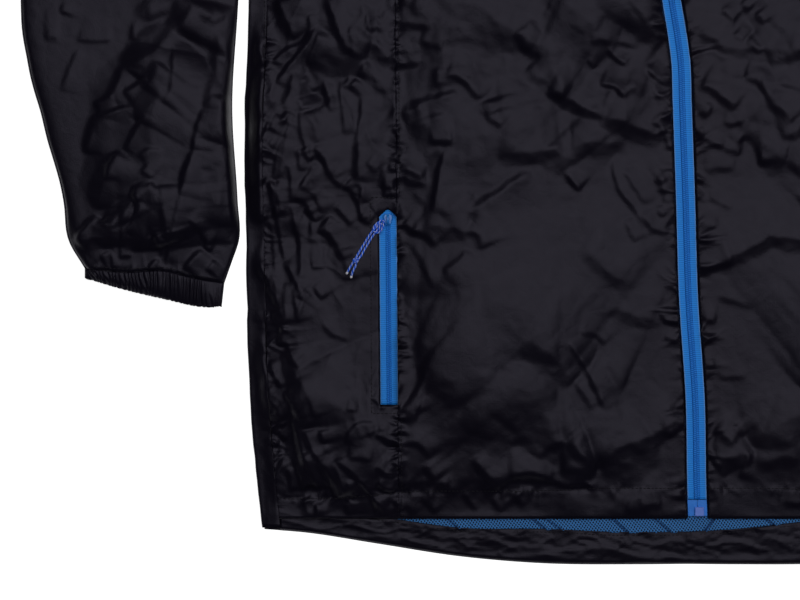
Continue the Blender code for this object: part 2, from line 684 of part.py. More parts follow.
def pull_tab(axis, metal):
    """The hard pull tab, lying down the zip, with a round bar on the joint's axis."""
    half, neck = TAB_WIDE / 2, TAB_NECK / 2
    profile = [(neck, 0), (-neck, 0), (-neck, -6), (-half, -9), (-half, 1.5 - TAB_LONG),
               (1.5 - half, -TAB_LONG), (half - 1.5, -TAB_LONG), (half, 1.5 - TAB_LONG),
               (half, -9), (neck, -6)]
    tab = prism("zip_pull", profile, -TAB_THICK / 2, TAB_THICK / 2, metal, axis)
    tab.rotation_euler.x = TAB_SLOPE
    clear_wide, clear_long = TAB_WINDOW
    window = block("pull_window", axis, (clear_wide, 2 * clear_long, 4 * TAB_THICK), metal)
    cut(tab, window)
    bar = bpy.data.meshes.new("pull_bar")
    shape = bmesh.new()
    bmesh.ops.create_cone(shape, cap_ends=True, segments=20, radius1=TAB_THICK / 2 * MM,
                          radius2=TAB_THICK / 2 * MM, depth=TAB_NECK * MM,
                          matrix=Matrix.Rotation(math.pi / 2, 4, "Y"))
    shape.to_mesh(bar)
    shape.free()
    guide = add("pull_bar", bar, metal)
    guide.location = placed(axis)[0]
    cut(tab, guide, "UNION")


def build_pocket(half, word, tape, coil, metal, cord, tip):
    """A pocket zip standing in its opening beside the princess seam, and its doubled cord pull."""
    reach = POCKET_WIDTH / 2 - GAP
    line = beside_princess(np.linspace(POCKET_V[0] + GAP, POCKET_V[1] - GAP, 8), POCKET_WIDTH / 2)
    line = line * (half, 1)
    cloth(f"pocket_tape_{word}", strip(line, -reach, reach, -ZIP_SUNK), TAPE, tape)
    chain = line[:-1] + (0, 0.5)
    cloth(f"pocket_chain_{word}",
          strip(chain, -POCKET_CHAIN_HALF, POCKET_CHAIN_HALF, TAPE + GAP - ZIP_SUNK), TAPE, coil)

    mid = float(line[-2, 0])
    slider_v = POCKET_V[1] - POCKET_SLIDER_DOWN
    base = float(height(mid, slider_v)) - ZIP_SUNK + GAP
    slider(f"pocket_slider_{word}", (mid, slider_v, base), POCKET_SLIDER, metal)

    def spot(out_of_mid, down, lift=0.0):
        x, v = mid + half * out_of_mid, slider_v - down
        return (x, v, float(height(x, v)) + CORD_REST + CORD / 2 + lift)

    # The cord's route: its distance outwards from the slider, down from it, and clear height
    strands = {
        "1": [(6.5, 6.2, 1.2), (9.5, 9.8, 0.6), (12.5, 14.0, 0.2), (15.2, 18.6, 0), (18.0, 23.4, 0),
              (20.8, 28.2, 0)],
        "2": [(8.2, 5.2, 1.2), (11.8, 8.0, 0.6), (16.0, 12.6, 0.2), (19.2, 17.6, 0), (21.2, 22.2, 0),
              (23.0, 27.0, 0)],
    }
    tails = {
        "1": [(24.2, 34.6, 0), (26.2, 38.6, 0), (27.2, 42.0, 0)],
        "2": [(26.8, 33.2, 0), (28.6, 36.2, 0), (30.2, 39.2, 0)],
    }
    for number, route in strands.items():
        points = curve([spot(*place) for place in route], 9)
        tube(f"pull_strand_{word}_{number}", points, CORD, cord)
    for number, route in tails.items():
        points = curve([spot(*place) for place in route], 5)
        tube(f"pull_tail_{word}_{number}", points, CORD, cord)
        way = points[-1] - points[-2]
        way /= np.linalg.norm(way)
        ends = [points[-1] + way * GAP, points[-1] + way * (GAP + TIP)]
        tube(f"pull_tip_{word}_{number}", ends, CORD + 0.4, tip)
    pebble(f"pull_knot_{word}", spot(24.0, 30.9, 0.35), (5.4, 4.8, 3.2), cord)
    pebble(f"pull_hitch_{word}", spot(5.4, 3.0, 2.2), (4.2, 3.8, 3.6), cord)


# ---------------------------------------------------------------- the jacket

def main():
    for thing in list(bpy.data.objects):
        bpy.data.objects.remove(thing)
    shell = paint("black nylon", (0.018, 0.017, 0.022), 0.5)
    mesh_cloth = paint("blue mesh", (0.05, 0.16, 0.38), 0.8)
    tape = paint("blue zip tape", (0.012, 0.13, 0.46), 0.7)
    coil = paint("blue zip coil", (0.015, 0.15, 0.5), 0.45)
    film = paint("zip foot film", (0.04, 0.24, 0.66), 0.35)
    box = paint("lacquered slider", (0.02, 0.02, 0.022), 0.4, 0.6)
    cord = paint("flecked cord", (0.16, 0.27, 0.55), 0.8)
    tip = paint("cord tip", (0.7, 0.68, 0.6), 0.5)
    build_cloth(shell, mesh_cloth)
    build_front_zip(tape, coil, film, box)
    for half, word in ((-1, "right"), (1, "left")):
        build_pocket(half, word, tape, coil, box, cord, tip)


main()
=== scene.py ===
import math

import bpy
import numpy as np
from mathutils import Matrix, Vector
from mathutils.geometry import delaunay_2d_cdt


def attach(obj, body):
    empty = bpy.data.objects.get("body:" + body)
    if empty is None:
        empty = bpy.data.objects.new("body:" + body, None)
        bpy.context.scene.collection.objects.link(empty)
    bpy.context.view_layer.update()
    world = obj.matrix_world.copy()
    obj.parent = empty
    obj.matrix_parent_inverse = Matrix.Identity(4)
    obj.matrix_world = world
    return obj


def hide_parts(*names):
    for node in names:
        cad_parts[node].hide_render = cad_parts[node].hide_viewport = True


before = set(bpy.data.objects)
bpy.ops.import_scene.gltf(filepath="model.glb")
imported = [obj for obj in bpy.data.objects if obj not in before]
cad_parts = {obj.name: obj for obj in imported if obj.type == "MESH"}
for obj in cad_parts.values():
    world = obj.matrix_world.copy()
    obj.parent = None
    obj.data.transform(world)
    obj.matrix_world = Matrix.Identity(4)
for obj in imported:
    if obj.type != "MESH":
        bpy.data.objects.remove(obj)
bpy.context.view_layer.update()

# A men's rain jacket lying zipped on its back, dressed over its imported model.
#
# Metres, +Z up, the hem towards -Y and the wearer's right half at -X. Tables are in millimetres:
# x from the centre line (or `out`, the distance from it on either side) and v up from the front
# hem's edge. Every cloth piece is a grid of points on its outer face, turned into a thin shell.

MM = 0.001
HALVES = ((-1, "right"), (1, "left"))    # which way each of the wearer's halves lies, and its name
FOLD = 1.65          # outer radius of a pressed fold
FLAT = 2 * FOLD      # height of the cloth at its folded edges
LOFT = 3.7           # how much higher the front lies far from any edge
LOFT_REACH = 30.0    # distance over which it rises
SLEEVE_REACH = 4.0   # and on a sleeve
HEM_LIFT = 1.3       # the front hem lies over the lining and the turned-up back hem
HEM_LIFT_REACH = 60.0
EDGE_CALM = 4.0      # folds fade this near an edge
EDGE_SHARE = 0.15    # to this share of their height
LIP = 14.0           # the back wraps this far over the side fold
FABRIC = 0.5         # thickness of one shell
HEM_DROP = 34.5      # the back hem's lowest point below the front hem
COLLAR_TOP = 806.0
MIDDLE = (COLLAR_TOP - HEM_DROP) / 2

# Plan curves of one half: (out, v)
SIDE = [(319.5, -8), (322, 14), (328.5, 90), (331, 165), (333, 290), (330, 389), (334, 446)]
ARMHOLE = [(334, 446), (300, 461), (257, 500), (229, 549), (219, 605), (226, 655), (245, 698)]
SHOULDER = [(245, 698), (85, 748)]
FRONT_NECK = [(85, 748), (74, 712), (44, 676), (0, 661)]
BACK_NECK = [(85, 748), (60, 734), (30, 727), (0, 725)]
SLEEVE_OUT = [(453, 188), (465, 209), (469.5, 239), (484.5, 299), (499.5, 362), (501, 392),
              (494, 440), (476, 500), (446, 560), (398, 618), (328, 667), (245, 698)]
SLEEVE_IN = [(348, 177), (342, 194), (337, 209), (338, 239), (342, 310), (338, 380), (334, 446)]
CUFF_SEAM = [(453, 188), (425, 185), (391, 186), (372, 181), (348, 177)]
CUFF_END = [(453, 181), (430, 174), (393, 165), (363, 159), (350, 159)]
BACK_HEM = [(319.5, -8), (288, -10.5), (234, -18.8), (171, -28.5), (111, -33.6), (36, -34.5),
            (0, -34.2)]
COLLAR_FRONT_TOP = [(80, 806), (66, 775), (40, 750), (0, 737)]
COLLAR_BACK_TOP = [(80, 806), (40, 800), (0, 798)]
UNDERARM, UNDERARM_V = ARMHOLE[0]
NECK_V, COLLAR_V = FRONT_NECK[-1][1], COLLAR_FRONT_TOP[-1][1]    # on the centre line
ARM_BLEND = 60.0     # the body's loft turns into the sleeve's over this distance

# The turned-up back hem's upper edge, and the zip's centre line, right across: (x, v)
TURN_UP = [(-305, 11), (-250, 4), (-211, -1.5), (-171, -6.8), (-111, -7.5), (-50, -10), (-9, -9.8),
           (39, -7.5), (84, -2.5), (140, 0), (250, 4), (305, 11)]
ZIP_LINE = [(7.5, 0), (6.9, 14), (5.3, 90), (0.4, 164), (-1.9, 239), (-4.5, 314), (-5.6, 344),
            (-7.5, 359), (-12.4, 389), (-15.5, 410), (-18, 450), (-16, 505), (-8, 570), (0, 661)]
PRINCESS_FOOT = (216.8, 0)
HEM_LIFT_OUT = PRINCESS_FOOT[0] + 100
LINING_TOP = 30.0
LINING_X = (-225.0, 130.0)
# The mesh lining's creases: x at the turn-up and at the front hem
LINING_CREASES = [(-172, -190), (-106, -124), (-94, -116), (-44, -60), (-12, -28), (14, 26),
                  (66, 48)]

ZIP_HALF = 7.25                # half the closed zip's width
ZIP_SUNK = 0.4                 # its tape lies this far under the cloth's outer face
ZIP_GAP = 0.3                  # and this far from the fronts' edges
ZIP_FOOT_TOP = 14.3            # the bonded film's upper edge
ZIP_TOP = 733.0
CHAIN_HALF = 2.3
POCKET_WIDTH = 13.2
POCKET_V = (85.5, 233.0)
POCKET_POINT = 6.5             # the opening's top rises this far to a point
CORD = 1.7

STITCH, STITCH_SIZE = 3.0, (2.3, 0.75, 0.5)      # from stitch to stitch; one stitch's size
TOOTH, TOOTH_LONG, TOOTH_HIGH = 1.6, 0.95, 0.9   # the coil's turns: pitch, length and height
TOPSTITCH = 2.4                                  # topstitching runs this far from its seam

# Pocket pulls, as (out, down) from the slider's middle and how far over the cloth's own height
SLIDER_V = 224.5
SLIDER_OUT = 6.6                                 # the slider's middle, out from the princess seam
STRANDS = [[(5.0, 2.6, 1.9), (6.5, 6.2, 1.2), (9.5, 9.8, 0.6), (12.5, 14, 0.2), (15.2, 18.6, 0),
            (18, 23.4, 0), (20.8, 28.2, 0), (23.4, 30.9, 0.3), (24.2, 34.6, 0), (26.2, 38.6, 0),
            (27.2, 42, 0)],
           [(6.0, 2.4, 1.9), (8.2, 5.2, 1.2), (11.2, 8.2, 0.6), (14.8, 13.2, 0.2), (17.8, 18.2, 0),
            (20.5, 22.6, 0), (23, 27, 0), (24.8, 30.4, 0.3), (26.8, 33.2, 0), (28.6, 36.2, 0),
            (30.2, 39.2, 0)]]
KNOT, KNOT_SIZE = (24.0, 30.9, 0.35), (5.4, 4.8, 3.2)
HITCH_LOOP = [(2.8, 0, 1.9), (5.6, 0.9, 2.1), (9.4, 3.6, 1.8), (11.4, 6.8, 1.4), (10.4, 9.4, 1.6),
              (7.2, 10.4, 1.7), (4.8, 8.2, 2.0), (3.4, 4.2, 2.2)]

# Folds, each a steep flank that faces right of its run, with its cloth falling away gently beyond
# the crest: the flank's width, its steepness from 1 to 5, and the points of its middle line (x, v)
SIDE_FOLDS = [
    (34, 2.4, -296, 112, -276, 70, -250, 30, -230, 6),
    (20, 2.2, -300, 205, -302, 110, -294, 15), (3, 4, -333, 352, -326, 349, -318, 350),
    (3, 4, -334, 320, -324, 322, -316, 318), (3, 4, -335, 255, -324, 251, -317, 253),
    (3, 4, -333, 226, -325, 228, -316, 224), (3.5, 4, -334, 186, -322, 183, -314, 186),
    (3, 4, -331, 98, -322, 101, -313, 97), (3, 4, -328, 52, -318, 49, -310, 52),
    (4.5, 5, -308, 389, -304, 374, -297, 360),
    (2.6, 4, -284, 378, -286, 364, -291, 358, -302, 352, -312, 343),
    (4.5, 5, -331, 338, -322, 340, -314, 342),
    (2.6, 5, -279, 370, -284, 362, -290, 353, -299, 340, -311, 327),
    (1.9, 4, -278, 365, -284, 350, -286, 341),
    (3.8, 4.5, -272, 389, -268, 377, -262, 359, -257, 352, -251, 348, -242, 344),
    (10.5, 2.5, -282, 344, -261, 340, -240, 337), (3, 4, -239, 343, -245, 338, -247, 331),
    (6.8, 2, -257, 363, -237, 352, -216, 340), (1.5, 3.5, -289, 328, -284, 325, -280, 320),
    (3.8, 3.2, -296, 335, -299, 326, -304, 307), (1.9, 3, -274, 329, -272, 318, -268, 305),
    (1.4, 3, -261, 329, -260, 310, -257, 288), (1.2, 4, -248, 330, -254, 323),
    (1.2, 3, -254, 332, -259, 323), (3, 3, -244, 368, -237, 366, -230, 369),
    (1.9, 3, -327, 347, -318, 346), (1.5, 2.5, -316, 356, -308, 358), (1.5, 3, -328, 325, -315, 326),
    (3, 4, -320, 323, -326, 319, -331, 314), (3.8, 2.3, -222, 386, -228, 373, -233, 366),
    (1.5, 4, -308, 304, -314, 292), (1.1, 3, -299, 306, -304, 300), (1.1, 3, -306, 298, -301, 296),
    (1.2, 3, -320, 300, -314, 295), (1.5, 3, -327, 292, -315, 292),
    (3, 5, -332, 286, -324, 286, -319, 284), (1.4, 3, -315, 280, -310, 277),
    (1.9, 3.2, -298, 299, -303, 280, -308, 256), (1.5, 3, -304, 286, -310, 269, -312, 254),
    (1.7, 4, -312, 254, -316, 251), (2.2, 4.5, -316, 250, -312, 242, -309, 227),
    (1.5, 3, -308, 254, -307, 239, -304, 230), (1.7, 3.5, -302, 267, -299, 258, -298, 239),
    (1.2, 3.8, -292, 305, -290, 288, -286, 274), (3, 3, -293, 314, -289, 305),
    (4.5, 3.2, -288, 304, -283, 292, -278, 280), (3, 5, -281, 279, -274, 268, -267, 254),
    (1.9, 3.2, -267, 254, -259, 249), (1.4, 4, -290, 276, -284, 268), (1.5, 3, -293, 278, -292, 261),
    (1.4, 3.5, -280, 268, -286, 258, -292, 249), (1.9, 4, -246, 316, -247, 299, -249, 284),
    (4.1, 4.5, -248, 287, -250, 269, -251, 254), (1.4, 4, -253, 256, -258, 248),
    (1.5, 3, -252, 256, -247, 250, -246, 236), (1.5, 4.5, -253, 245, -247, 232, -246, 223),
    (1.5, 3.2, -296, 241, -288, 237, -283, 228), (2.2, 2.2, -283, 245, -274, 230),
    (2.2, 2.2, -228, 275, -230, 262, -232, 249), (1.1, 3.5, -239, 236, -234, 227),
    (0.9, 2.5, -242, 268, -234, 260), (2.2, 4, -225, 262, -219, 261), (1.5, 3.5, -229, 248, -220, 247),
    (1.9, 4, -229, 242, -220, 242), (1.9, 4, -310, 236, -308, 218, -303, 193),
    (1.7, 4, -303, 193, -298, 184, -292, 171), (1.5, 3.2, -315, 224, -312, 207, -310, 184),
    (1.5, 4.2, -298, 237, -296, 220, -292, 202, -292, 181), (1.5, 4, -288, 233, -279, 222),
    (1.5, 4, -268, 229, -274, 221, -278, 216), (1.5, 2.2, -284, 223, -284, 207),
    (1.4, 3, -265, 234, -260, 229, -254, 220), (3.4, 3.5, -273, 218, -266, 206, -260, 193),
    (7.5, 1.8, -262, 202, -258, 179), (1, 3, -246, 224, -238, 220), (0.9, 3, -283, 188, -272, 188),
    (1.2, 3.3, -282, 176, -274, 164), (1.1, 3, -288, 174, -293, 168),
    (3.4, 5, -329, 191, -323, 188, -318, 180, -314, 170, -308, 159, -306, 140),
    (1.5, 4, -313, 158, -310, 145), (1.5, 2.4, -303, 179, -303, 148),
    (1.9, 3.2, -296, 175, -295, 160, -293, 148), (2.2, 3.5, -331, 224, -319, 223),
    (2.2, 2, -274, 146, -267, 137, -256, 134), (2.2, 4, -329, 148, -320, 149),
    (2.6, 5, -307, 145, -307, 130), (6, 5, -302, 128, -298, 110, -292, 93, -288, 68),
    (0.9, 4, -302, 133, -298, 123, -292, 112), (2.2, 4.5, -292, 106, -286, 93, -280, 76),
    (1.9, 4.5, -314, 118, -310, 107, -306, 98), (2.2, 5, -303, 95, -298, 86, -293, 74),
    (5.2, 4.5, -331, 108, -322, 110, -314, 111), (3.4, 5, -326, 92, -315, 86, -305, 72),
    (1.9, 3, -257, 81, -248, 80), (1.9, 3, -238, 91, -234, 88, -229, 82), (2.2, 4, -313, 76, -304, 68),
    (2.2, 5, -310, 66, -302, 58), (3, 4.5, -318, 58, -309, 54), (3, 5, -297, 78, -292, 53, -288, 24),
    (1.9, 4.5, -296, 46, -292, 32, -290, 21), (2.2, 5, -288, 66, -283, 52, -276, 42),
    (4.5, 5, -278, 44, -270, 29, -261, 15), (5.2, 4, -270, 42, -264, 29, -259, 15),
    (3, 5, -289, 49, -284, 33, -280, 20), (1.5, 4.5, -277, 66, -274, 56),
    (1.9, 4.5, -235, 73, -245, 73, -253, 68, -258, 58), (2.2, 3, -247, 61, -238, 64, -227, 68),
    (2.2, 5, -235, 63, -227, 59, -220, 57),
    (2.6, 5, -266, 44, -260, 40, -252, 34, -244, 26, -239, 19, -225, 0), (1.5, 3, -256, 46, -237, 44),
    (2.6, 4.5, -235, 39, -228, 34, -220, 32), (2.2, 5, -234, 28, -226, 22, -220, 20),
    (1.5, 4, -256, 30, -254, 16), (1.9, 4.5, -236, 16, -233, -2),
    (2.2, 4, -304, 47, -310, 33, -314, 20), (2.2, 3, -301, 38, -298, 21), (3.8, 4, -291, 15, -284, -2),
    (2.2, 4.5, -280, 12, -278, -2), (1.5, 3, -257, 12, -255, 2),
]
FRONT_FOLDS = [
    (40, 1.9, -108, 404, -70, 386, -22, 354), (38, 1.5, -208, 132, -170, 138, -120, 134, -90, 112),
    (36, 1.3, -204, 88, -150, 86, -98, 84), (28, 1.8, -212, 50, -150, 46, -84, 56, -46, 70),
    (30, 1.2, -216, 330, -180, 300, -150, 262), (26, 1.2, -140, 282, -100, 284, -60, 262),
    (23, 3, -206, 390, -166, 374, -118, 350), (3, 3, -217, 370, -208, 370, -193, 365),
    (9, 2, -217, 385, -197, 383), (3, 3, -202, 356, -185, 351), (3, 3, -217, 340, -202, 340),
    (3, 4.8, -182, 332, -171, 329, -164, 322, -158, 314), (3, 2.5, -190, 338, -189, 325),
    (3.8, 4, -173, 321, -188, 317, -208, 312), (3, 3, -118, 374, -132, 362),
    (2.2, 3, -127, 354, -110, 345), (6, 4.2, -122, 337, -107, 324, -94, 315),
    (6, 4.2, -107, 320, -85, 308, -65, 299), (8.2, 3.8, -68, 299, -44, 292, -20, 282),
    (9, 3.3, -70, 392, -52, 380, -36, 367, -20, 357), (3, 3.4, -48, 389, -39, 380, -32, 371),
    (8, 2.8, -108, 392, -92, 380, -70, 364), (20, 2.4, -112, 372, -85, 358, -58, 346),
    (1.7, 4.5, -62, 352, -54, 344, -46, 339), (1.9, 5, -66, 326, -57, 323, -49, 314),
    (1.7, 5, -32, 339, -26, 332, -14, 324), (2.6, 3, -29, 329, -24, 317, -20, 309),
    (1.5, 3, -77, 343, -70, 338), (3, 2.4, -75, 358, -57, 356, -38, 352), (3.8, 2, -48, 323, -35, 318),
    (6, 3, -155, 313, -152, 302), (2.6, 4, -153, 302, -142, 292),
    (3, 3, -181, 304, -194, 301, -208, 296), (4.5, 3, -200, 312, -216, 305),
    (3, 3.5, -194, 282, -176, 282), (2.2, 2.2, -185, 279, -198, 274),
    (1.8, 5, -183, 278, -188, 256, -193, 230), (1.9, 5, -217, 262, -210, 260, -199, 255),
    (1.5, 3.2, -217, 256, -210, 254), (3.8, 3, -213, 252, -196, 250), (0.9, 2, -207, 245, -199, 235),
    (6.8, 3.5, -142, 269, -118, 272, -94, 276), (12, 2.2, -107, 278, -99, 269, -92, 260),
    (3.8, 4.5, -119, 262, -135, 252, -150, 242, -166, 230), (6.8, 2, -164, 247, -186, 230),
    (7.5, 2.5, -88, 278, -66, 278, -45, 278), (2.6, 5, -95, 259, -83, 246),
    (2.2, 3.2, -56, 269, -52, 245, -40, 228, -36, 218), (2.2, 2.6, -48, 261, -42, 250, -34, 235),
    (1.9, 4.6, -29, 298, -23, 295, -18, 286, -13, 276), (1.1, 3.5, -23, 304, -14, 296),
    (2.2, 2.5, -26, 255, -18, 244), (1.5, 3.5, -21, 251, -15, 255), (1.5, 3, -20, 237, -11, 238),
    (1.5, 3, -25, 234, -21, 226), (2.2, 5, -215, 221, -208, 216, -202, 214),
    (3, 4, -208, 216, -198, 211, -190, 203), (8.2, 3, -202, 220, -182, 215, -164, 212),
    (3, 4, -166, 215, -159, 212, -155, 202), (3, 3, -166, 203, -173, 194, -184, 188),
    (1.9, 2.4, -208, 206, -200, 190, -191, 172), (6, 1.8, -84, 202, -66, 188, -45, 172),
    (2.2, 3, -37, 228, -28, 217, -15, 214), (1.9, 2.5, -48, 223, -40, 208),
    (6, 2.2, -62, 157, -36, 148, -20, 146), (1.9, 4.5, -22, 155, -15, 148, -8, 147),
    (1.5, 3, -214, 146, -206, 154), (1.5, 3, -18, 136, -8, 132),
    (2.2, 2.6, -81, 140, -69, 137, -63, 130), (10.5, 4, -126, 130, -107, 119, -87, 102),
    (16, 2, -206, 128, -178, 118, -150, 121), (12, 1.8, -200, 104, -172, 98, -140, 108),
    (12, 3, -201, 113, -182, 100, -170, 86),
    (10.5, 3, -156, 112, -158, 93, -165, 65), (10.5, 2.8, -134, 118, -137, 97, -150, 80),
    (2.6, 4, -90, 134, -81, 118, -72, 100, -62, 82), (2.2, 2.5, -85, 104, -72, 83),
    (12, 2, -74, 112, -47, 100), (7.5, 3.5, -216, 82, -210, 78, -202, 76),
    (1.5, 3, -205, 86, -200, 79), (1.9, 3.5, -216, 58, -206, 57, -194, 46),
    (3, 4.5, -199, 40, -190, 28), (3, 4.8, -163, 44, -153, 34, -142, 22),
    (4.5, 3.6, -217, 24, -201, 25, -178, 24), (1.5, 3, -186, 27, -172, 18),
    (3.8, 4.6, -135, 31, -118, 31, -102, 28), (9, 4.4, -96, 34, -81, 34, -69, 38),
    (3.8, 3.6, -111, 43, -102, 53, -92, 58), (4.5, 4, -92, 58, -80, 46, -68, 38),
    (6.8, 3.8, -68, 38, -52, 50, -32, 56, -15, 67, -2, 80), (12, 2.6, -62, 31, -36, 43, -20, 55),
    (2.2, 4.5, -15, 62, -6, 67, -2, 73), (2.2, 4, -107, 28, -85, 24, -66, 25),
    (1.9, 4, -170, 22, -160, 6), (1.9, 4, -147, 17, -141, 5), (1.9, 3.5, -137, 23, -123, 8),
    (2.2, 4, -201, 16, -189, 4), (1.5, 3, -214, 14, -207, 3), (1.9, 3.2, -36, 19, -44, 13, -46, 5),
    (3.8, 2.6, -36, 8, -20, 10), (6.8, 3.8, 6, 367, 20, 356, 40, 350, 84, 347, 122, 349),
    (1.9, 3.5, 24, 382, 34, 373), (1.9, 3.5, 33, 364, 40, 358), (2.2, 3.5, 38, 386, 45, 380),
    (1.5, 4, 50, 378, 56, 370), (2.2, 3.5, 42, 359, 52, 348),
    (3.8, 4.6, 9, 323, 20, 318, 28, 312, 34, 307), (3, 4.4, 41, 331, 50, 328, 56, 320, 58, 312),
    (3.8, 3.5, 57, 312, 68, 305, 76, 296), (2.2, 3, 54, 325, 69, 325, 87, 320),
    (2.2, 3.5, 25, 298, 33, 296, 43, 298), (2.2, 4.5, 6, 286, 15, 283, 26, 277),
    (3, 3, 26, 277, 38, 273), (1.9, 4.5, 6, 287, 12, 291), (1.9, 3.5, 13, 301, 18, 310),
    (1.9, 3, 35, 280, 43, 286, 51, 278, 54, 266), (4.5, 3, 52, 268, 62, 268, 73, 266),
    (3, 2, 12, 260, 35, 262), (1.9, 2.2, 14, 242, 33, 232), (3, 2, 9, 220, 21, 217),
    (6.8, 3.8, 26, 193, 48, 200, 62, 209, 84, 206, 106, 209), (3.8, 4.4, 10, 183, 21, 189, 35, 193),
    (3, 2, 21, 166, 35, 163, 48, 158), (1.9, 4, 10, 149, 20, 147), (1.1, 3, 13, 113, 21, 114),
    (1.5, 2, 22, 106, 43, 106), (13, 2.6, 46, 56, 65, 62, 84, 70, 122, 82),
    (7.5, 3.8, 18, 44, 35, 43, 48, 50), (2.2, 4, 43, 53, 42, 43, 38, 31),
    (3.8, 3, 19, 67, 28, 59, 35, 55), (1.9, 3.6, 34, 68, 40, 61), (1.5, 3, 18, 43, 26, 31),
    (6, 2.4, 51, 40, 84, 44),
]
SLEEVE_FOLDS = [
    (36, 3.0, -404, 356, -416, 300, -420, 250, -416, 200), (13, 2.4, -349, 372, -353, 320, -366, 262),
    (12, 4.4, -377, 392, -380, 378, -386, 366),
    (13, 4.2, -384, 371, -396, 362, -409, 352, -422, 338),
    (3.8, 3, -424, 341, -430, 326, -436, 316), (1.5, 3.5, -432, 318, -439, 314, -446, 311),
    (7.5, 2.4, -411, 389, -405, 373), (2.2, 3, -416, 374, -418, 359),
    (5.2, 3.6, -396, 343, -402, 334, -410, 323), (1.9, 4, -407, 331, -418, 323, -423, 319),
    (10.5, 2.8, -396, 326, -407, 314, -415, 301),
    (1.5, 4.2, -416, 310, -426, 308, -435, 305, -447, 302),
    (3.8, 3.2, -447, 302, -450, 288, -453, 275), (1.7, 3.8, -406, 304, -414, 292, -423, 277),
    (2.6, 4, -384, 356, -386, 340, -388, 322, -393, 310), (1.5, 3, -394, 277, -404, 277, -411, 273),
    (5.2, 2.8, -354, 367, -358, 329, -362, 307), (2.2, 3.8, -364, 308, -368, 296, -372, 277),
    (10.5, 2.4, -355, 318, -358, 296, -362, 284), (4.5, 3, -374, 277, -377, 262, -381, 243),
    (2.2, 4.6, -376, 269, -381, 243, -386, 224, -390, 206, -391, 192),
    (1.7, 3.6, -369, 284, -374, 266, -376, 250), (9, 2.6, -348, 277, -355, 247, -357, 220),
    (2.2, 3, -346, 277, -345, 239, -344, 215), (1.5, 3.2, -375, 224, -366, 216, -361, 205),
    (3, 4.6, -364, 203, -372, 196, -378, 187), (2.2, 4, -364, 204, -358, 201),
    (2.2, 3.6, -356, 194, -362, 187), (2.2, 3.4, -409, 262, -401, 255),
    (4.5, 4.8, -400, 253, -407, 250, -417, 248), (2.2, 5, -419, 244, -412, 237),
    (2.2, 5, -410, 237, -416, 227, -421, 214), (10.5, 3.6, -400, 249, -399, 232, -396, 211),
    (2.2, 4.4, -396, 250, -394, 232, -392, 209), (1.9, 3, -402, 217, -398, 206, -395, 198),
    (6.8, 3.6, -428, 275, -436, 260, -443, 247, -443, 233), (1.5, 4, -426, 277, -434, 266, -436, 254),
    (9, 2.6, -432, 236, -424, 220), (3, 5, -443, 229, -453, 218, -462, 208),
    (10.5, 3.6, -442, 223, -434, 212, -420, 209), (5.2, 4.6, -402, 212, -399, 203),
    (6, 3, -460, 203, -445, 207, -426, 208), (6, 3, -426, 206, -404, 207),
    (1.5, 3, -439, 221, -429, 218), (1.9, 3.4, -459, 196, -452, 187), (1.5, 3, -431, 203, -432, 188),
    (1.4, 3, -432, 202, -441, 197), (1.4, 3, -426, 196, -417, 196),
    (1.9, 4, -398, 196, -404, 190, -406, 185), (1.5, 3, -468, 388, -471, 380),
    (2.2, 2, -458, 359, -447, 357, -432, 358), (2.2, 2.2, -458, 352, -465, 337, -470, 322),
    (3.8, 1.8, -482, 360, -471, 360), (2.2, 3, -362, 373, -356, 379), (1.5, 3, -357, 370, -346, 378),
]
# Folds of the wearer's left half and of the chest: the table they repeat, the least flank width,
# the box of the fold's middle (x0, v0, x1, v1), -1 to mirror it, and how far it moves (x, v)
REPEATED = [
    (SIDE_FOLDS, 0, (-330, -20, -205, 390), -1, (5, 9)),
    (SLEEVE_FOLDS, 0, (-510, 160, -330, 390), -1, (-4, 12)),
    (FRONT_FOLDS, 0, (-220, 0, -84, 390), -1, (6, -14)),
    (FRONT_FOLDS, 3, (-220, 150, -10, 390), 1, (0, 282)),
    (FRONT_FOLDS, 3, (-220, 20, -10, 300), -1, (8, 402)),
    (SIDE_FOLDS, 3, (-330, 60, -205, 200), 1, (0, 330)),
    (SIDE_FOLDS, 3, (-330, 200, -205, 390), -1, (-8, 240)),
    (SLEEVE_FOLDS, 3, (-460, 250, -330, 390), 1, (22, 190)),
    (SLEEVE_FOLDS, 3, (-460, 200, -330, 390), -1, (-30, 214)),
    (SLEEVE_FOLDS, 3, (-440, 200, -330, 340), 1, (96, 330)),
    (SLEEVE_FOLDS, 3, (-440, 240, -330, 390), -1, (-100, 300)),
]

# Puckers gathered along a stitched line: spacing, length, half-width, height, and their lean
PUCKERS = {"zip": (4.4, 19.0, 1.9, 3.6, 34), "princess": (4.6, 10.0, 1.7, 4.6, 16),
           "side seam": (6.5, 16.0, 1.8, 2.2, 30), "hem": (6.5, 14.0, 1.7, 2.0, 38),
           "armhole": (8.0, 16.0, 2.4, 1.0, 15), "shoulder": (9.0, 10.0, 2.0, 0.7, 15),
           "neck": (7.0, 9.0, 1.8, 0.7, 15), "cuff": (7.0, 17.0, 2.8, 1.6, 18)}
SEAM_GAP = 0.4                 # a pucker starts this far from its stitches
# The front hem's stitched line: (out, v)
HEM_STITCH = [(0, 23), (66, 23), (118, 21), (216, 20), (258, 16), (330, 15)]

# Flat facets that the cloth buckles into, for each panel: their length, width, the direction
# they run in (degrees from +X on the wearer's right half), the height of their corners and how
# far their edges are rounded
FACETS = {"centre": [(64, 34, -28, 0.9, 1.6), (24, 13, -30, 0.22, 0.7)],
          "side": [(58, 18, 96, 1.3, 0.9), (25, 9, 84, 0.35, 0.5)],
          "sleeve": [(110, 32, 80, 0.7, 1.0), (38, 17, 72, 0.08, 0.3)]}
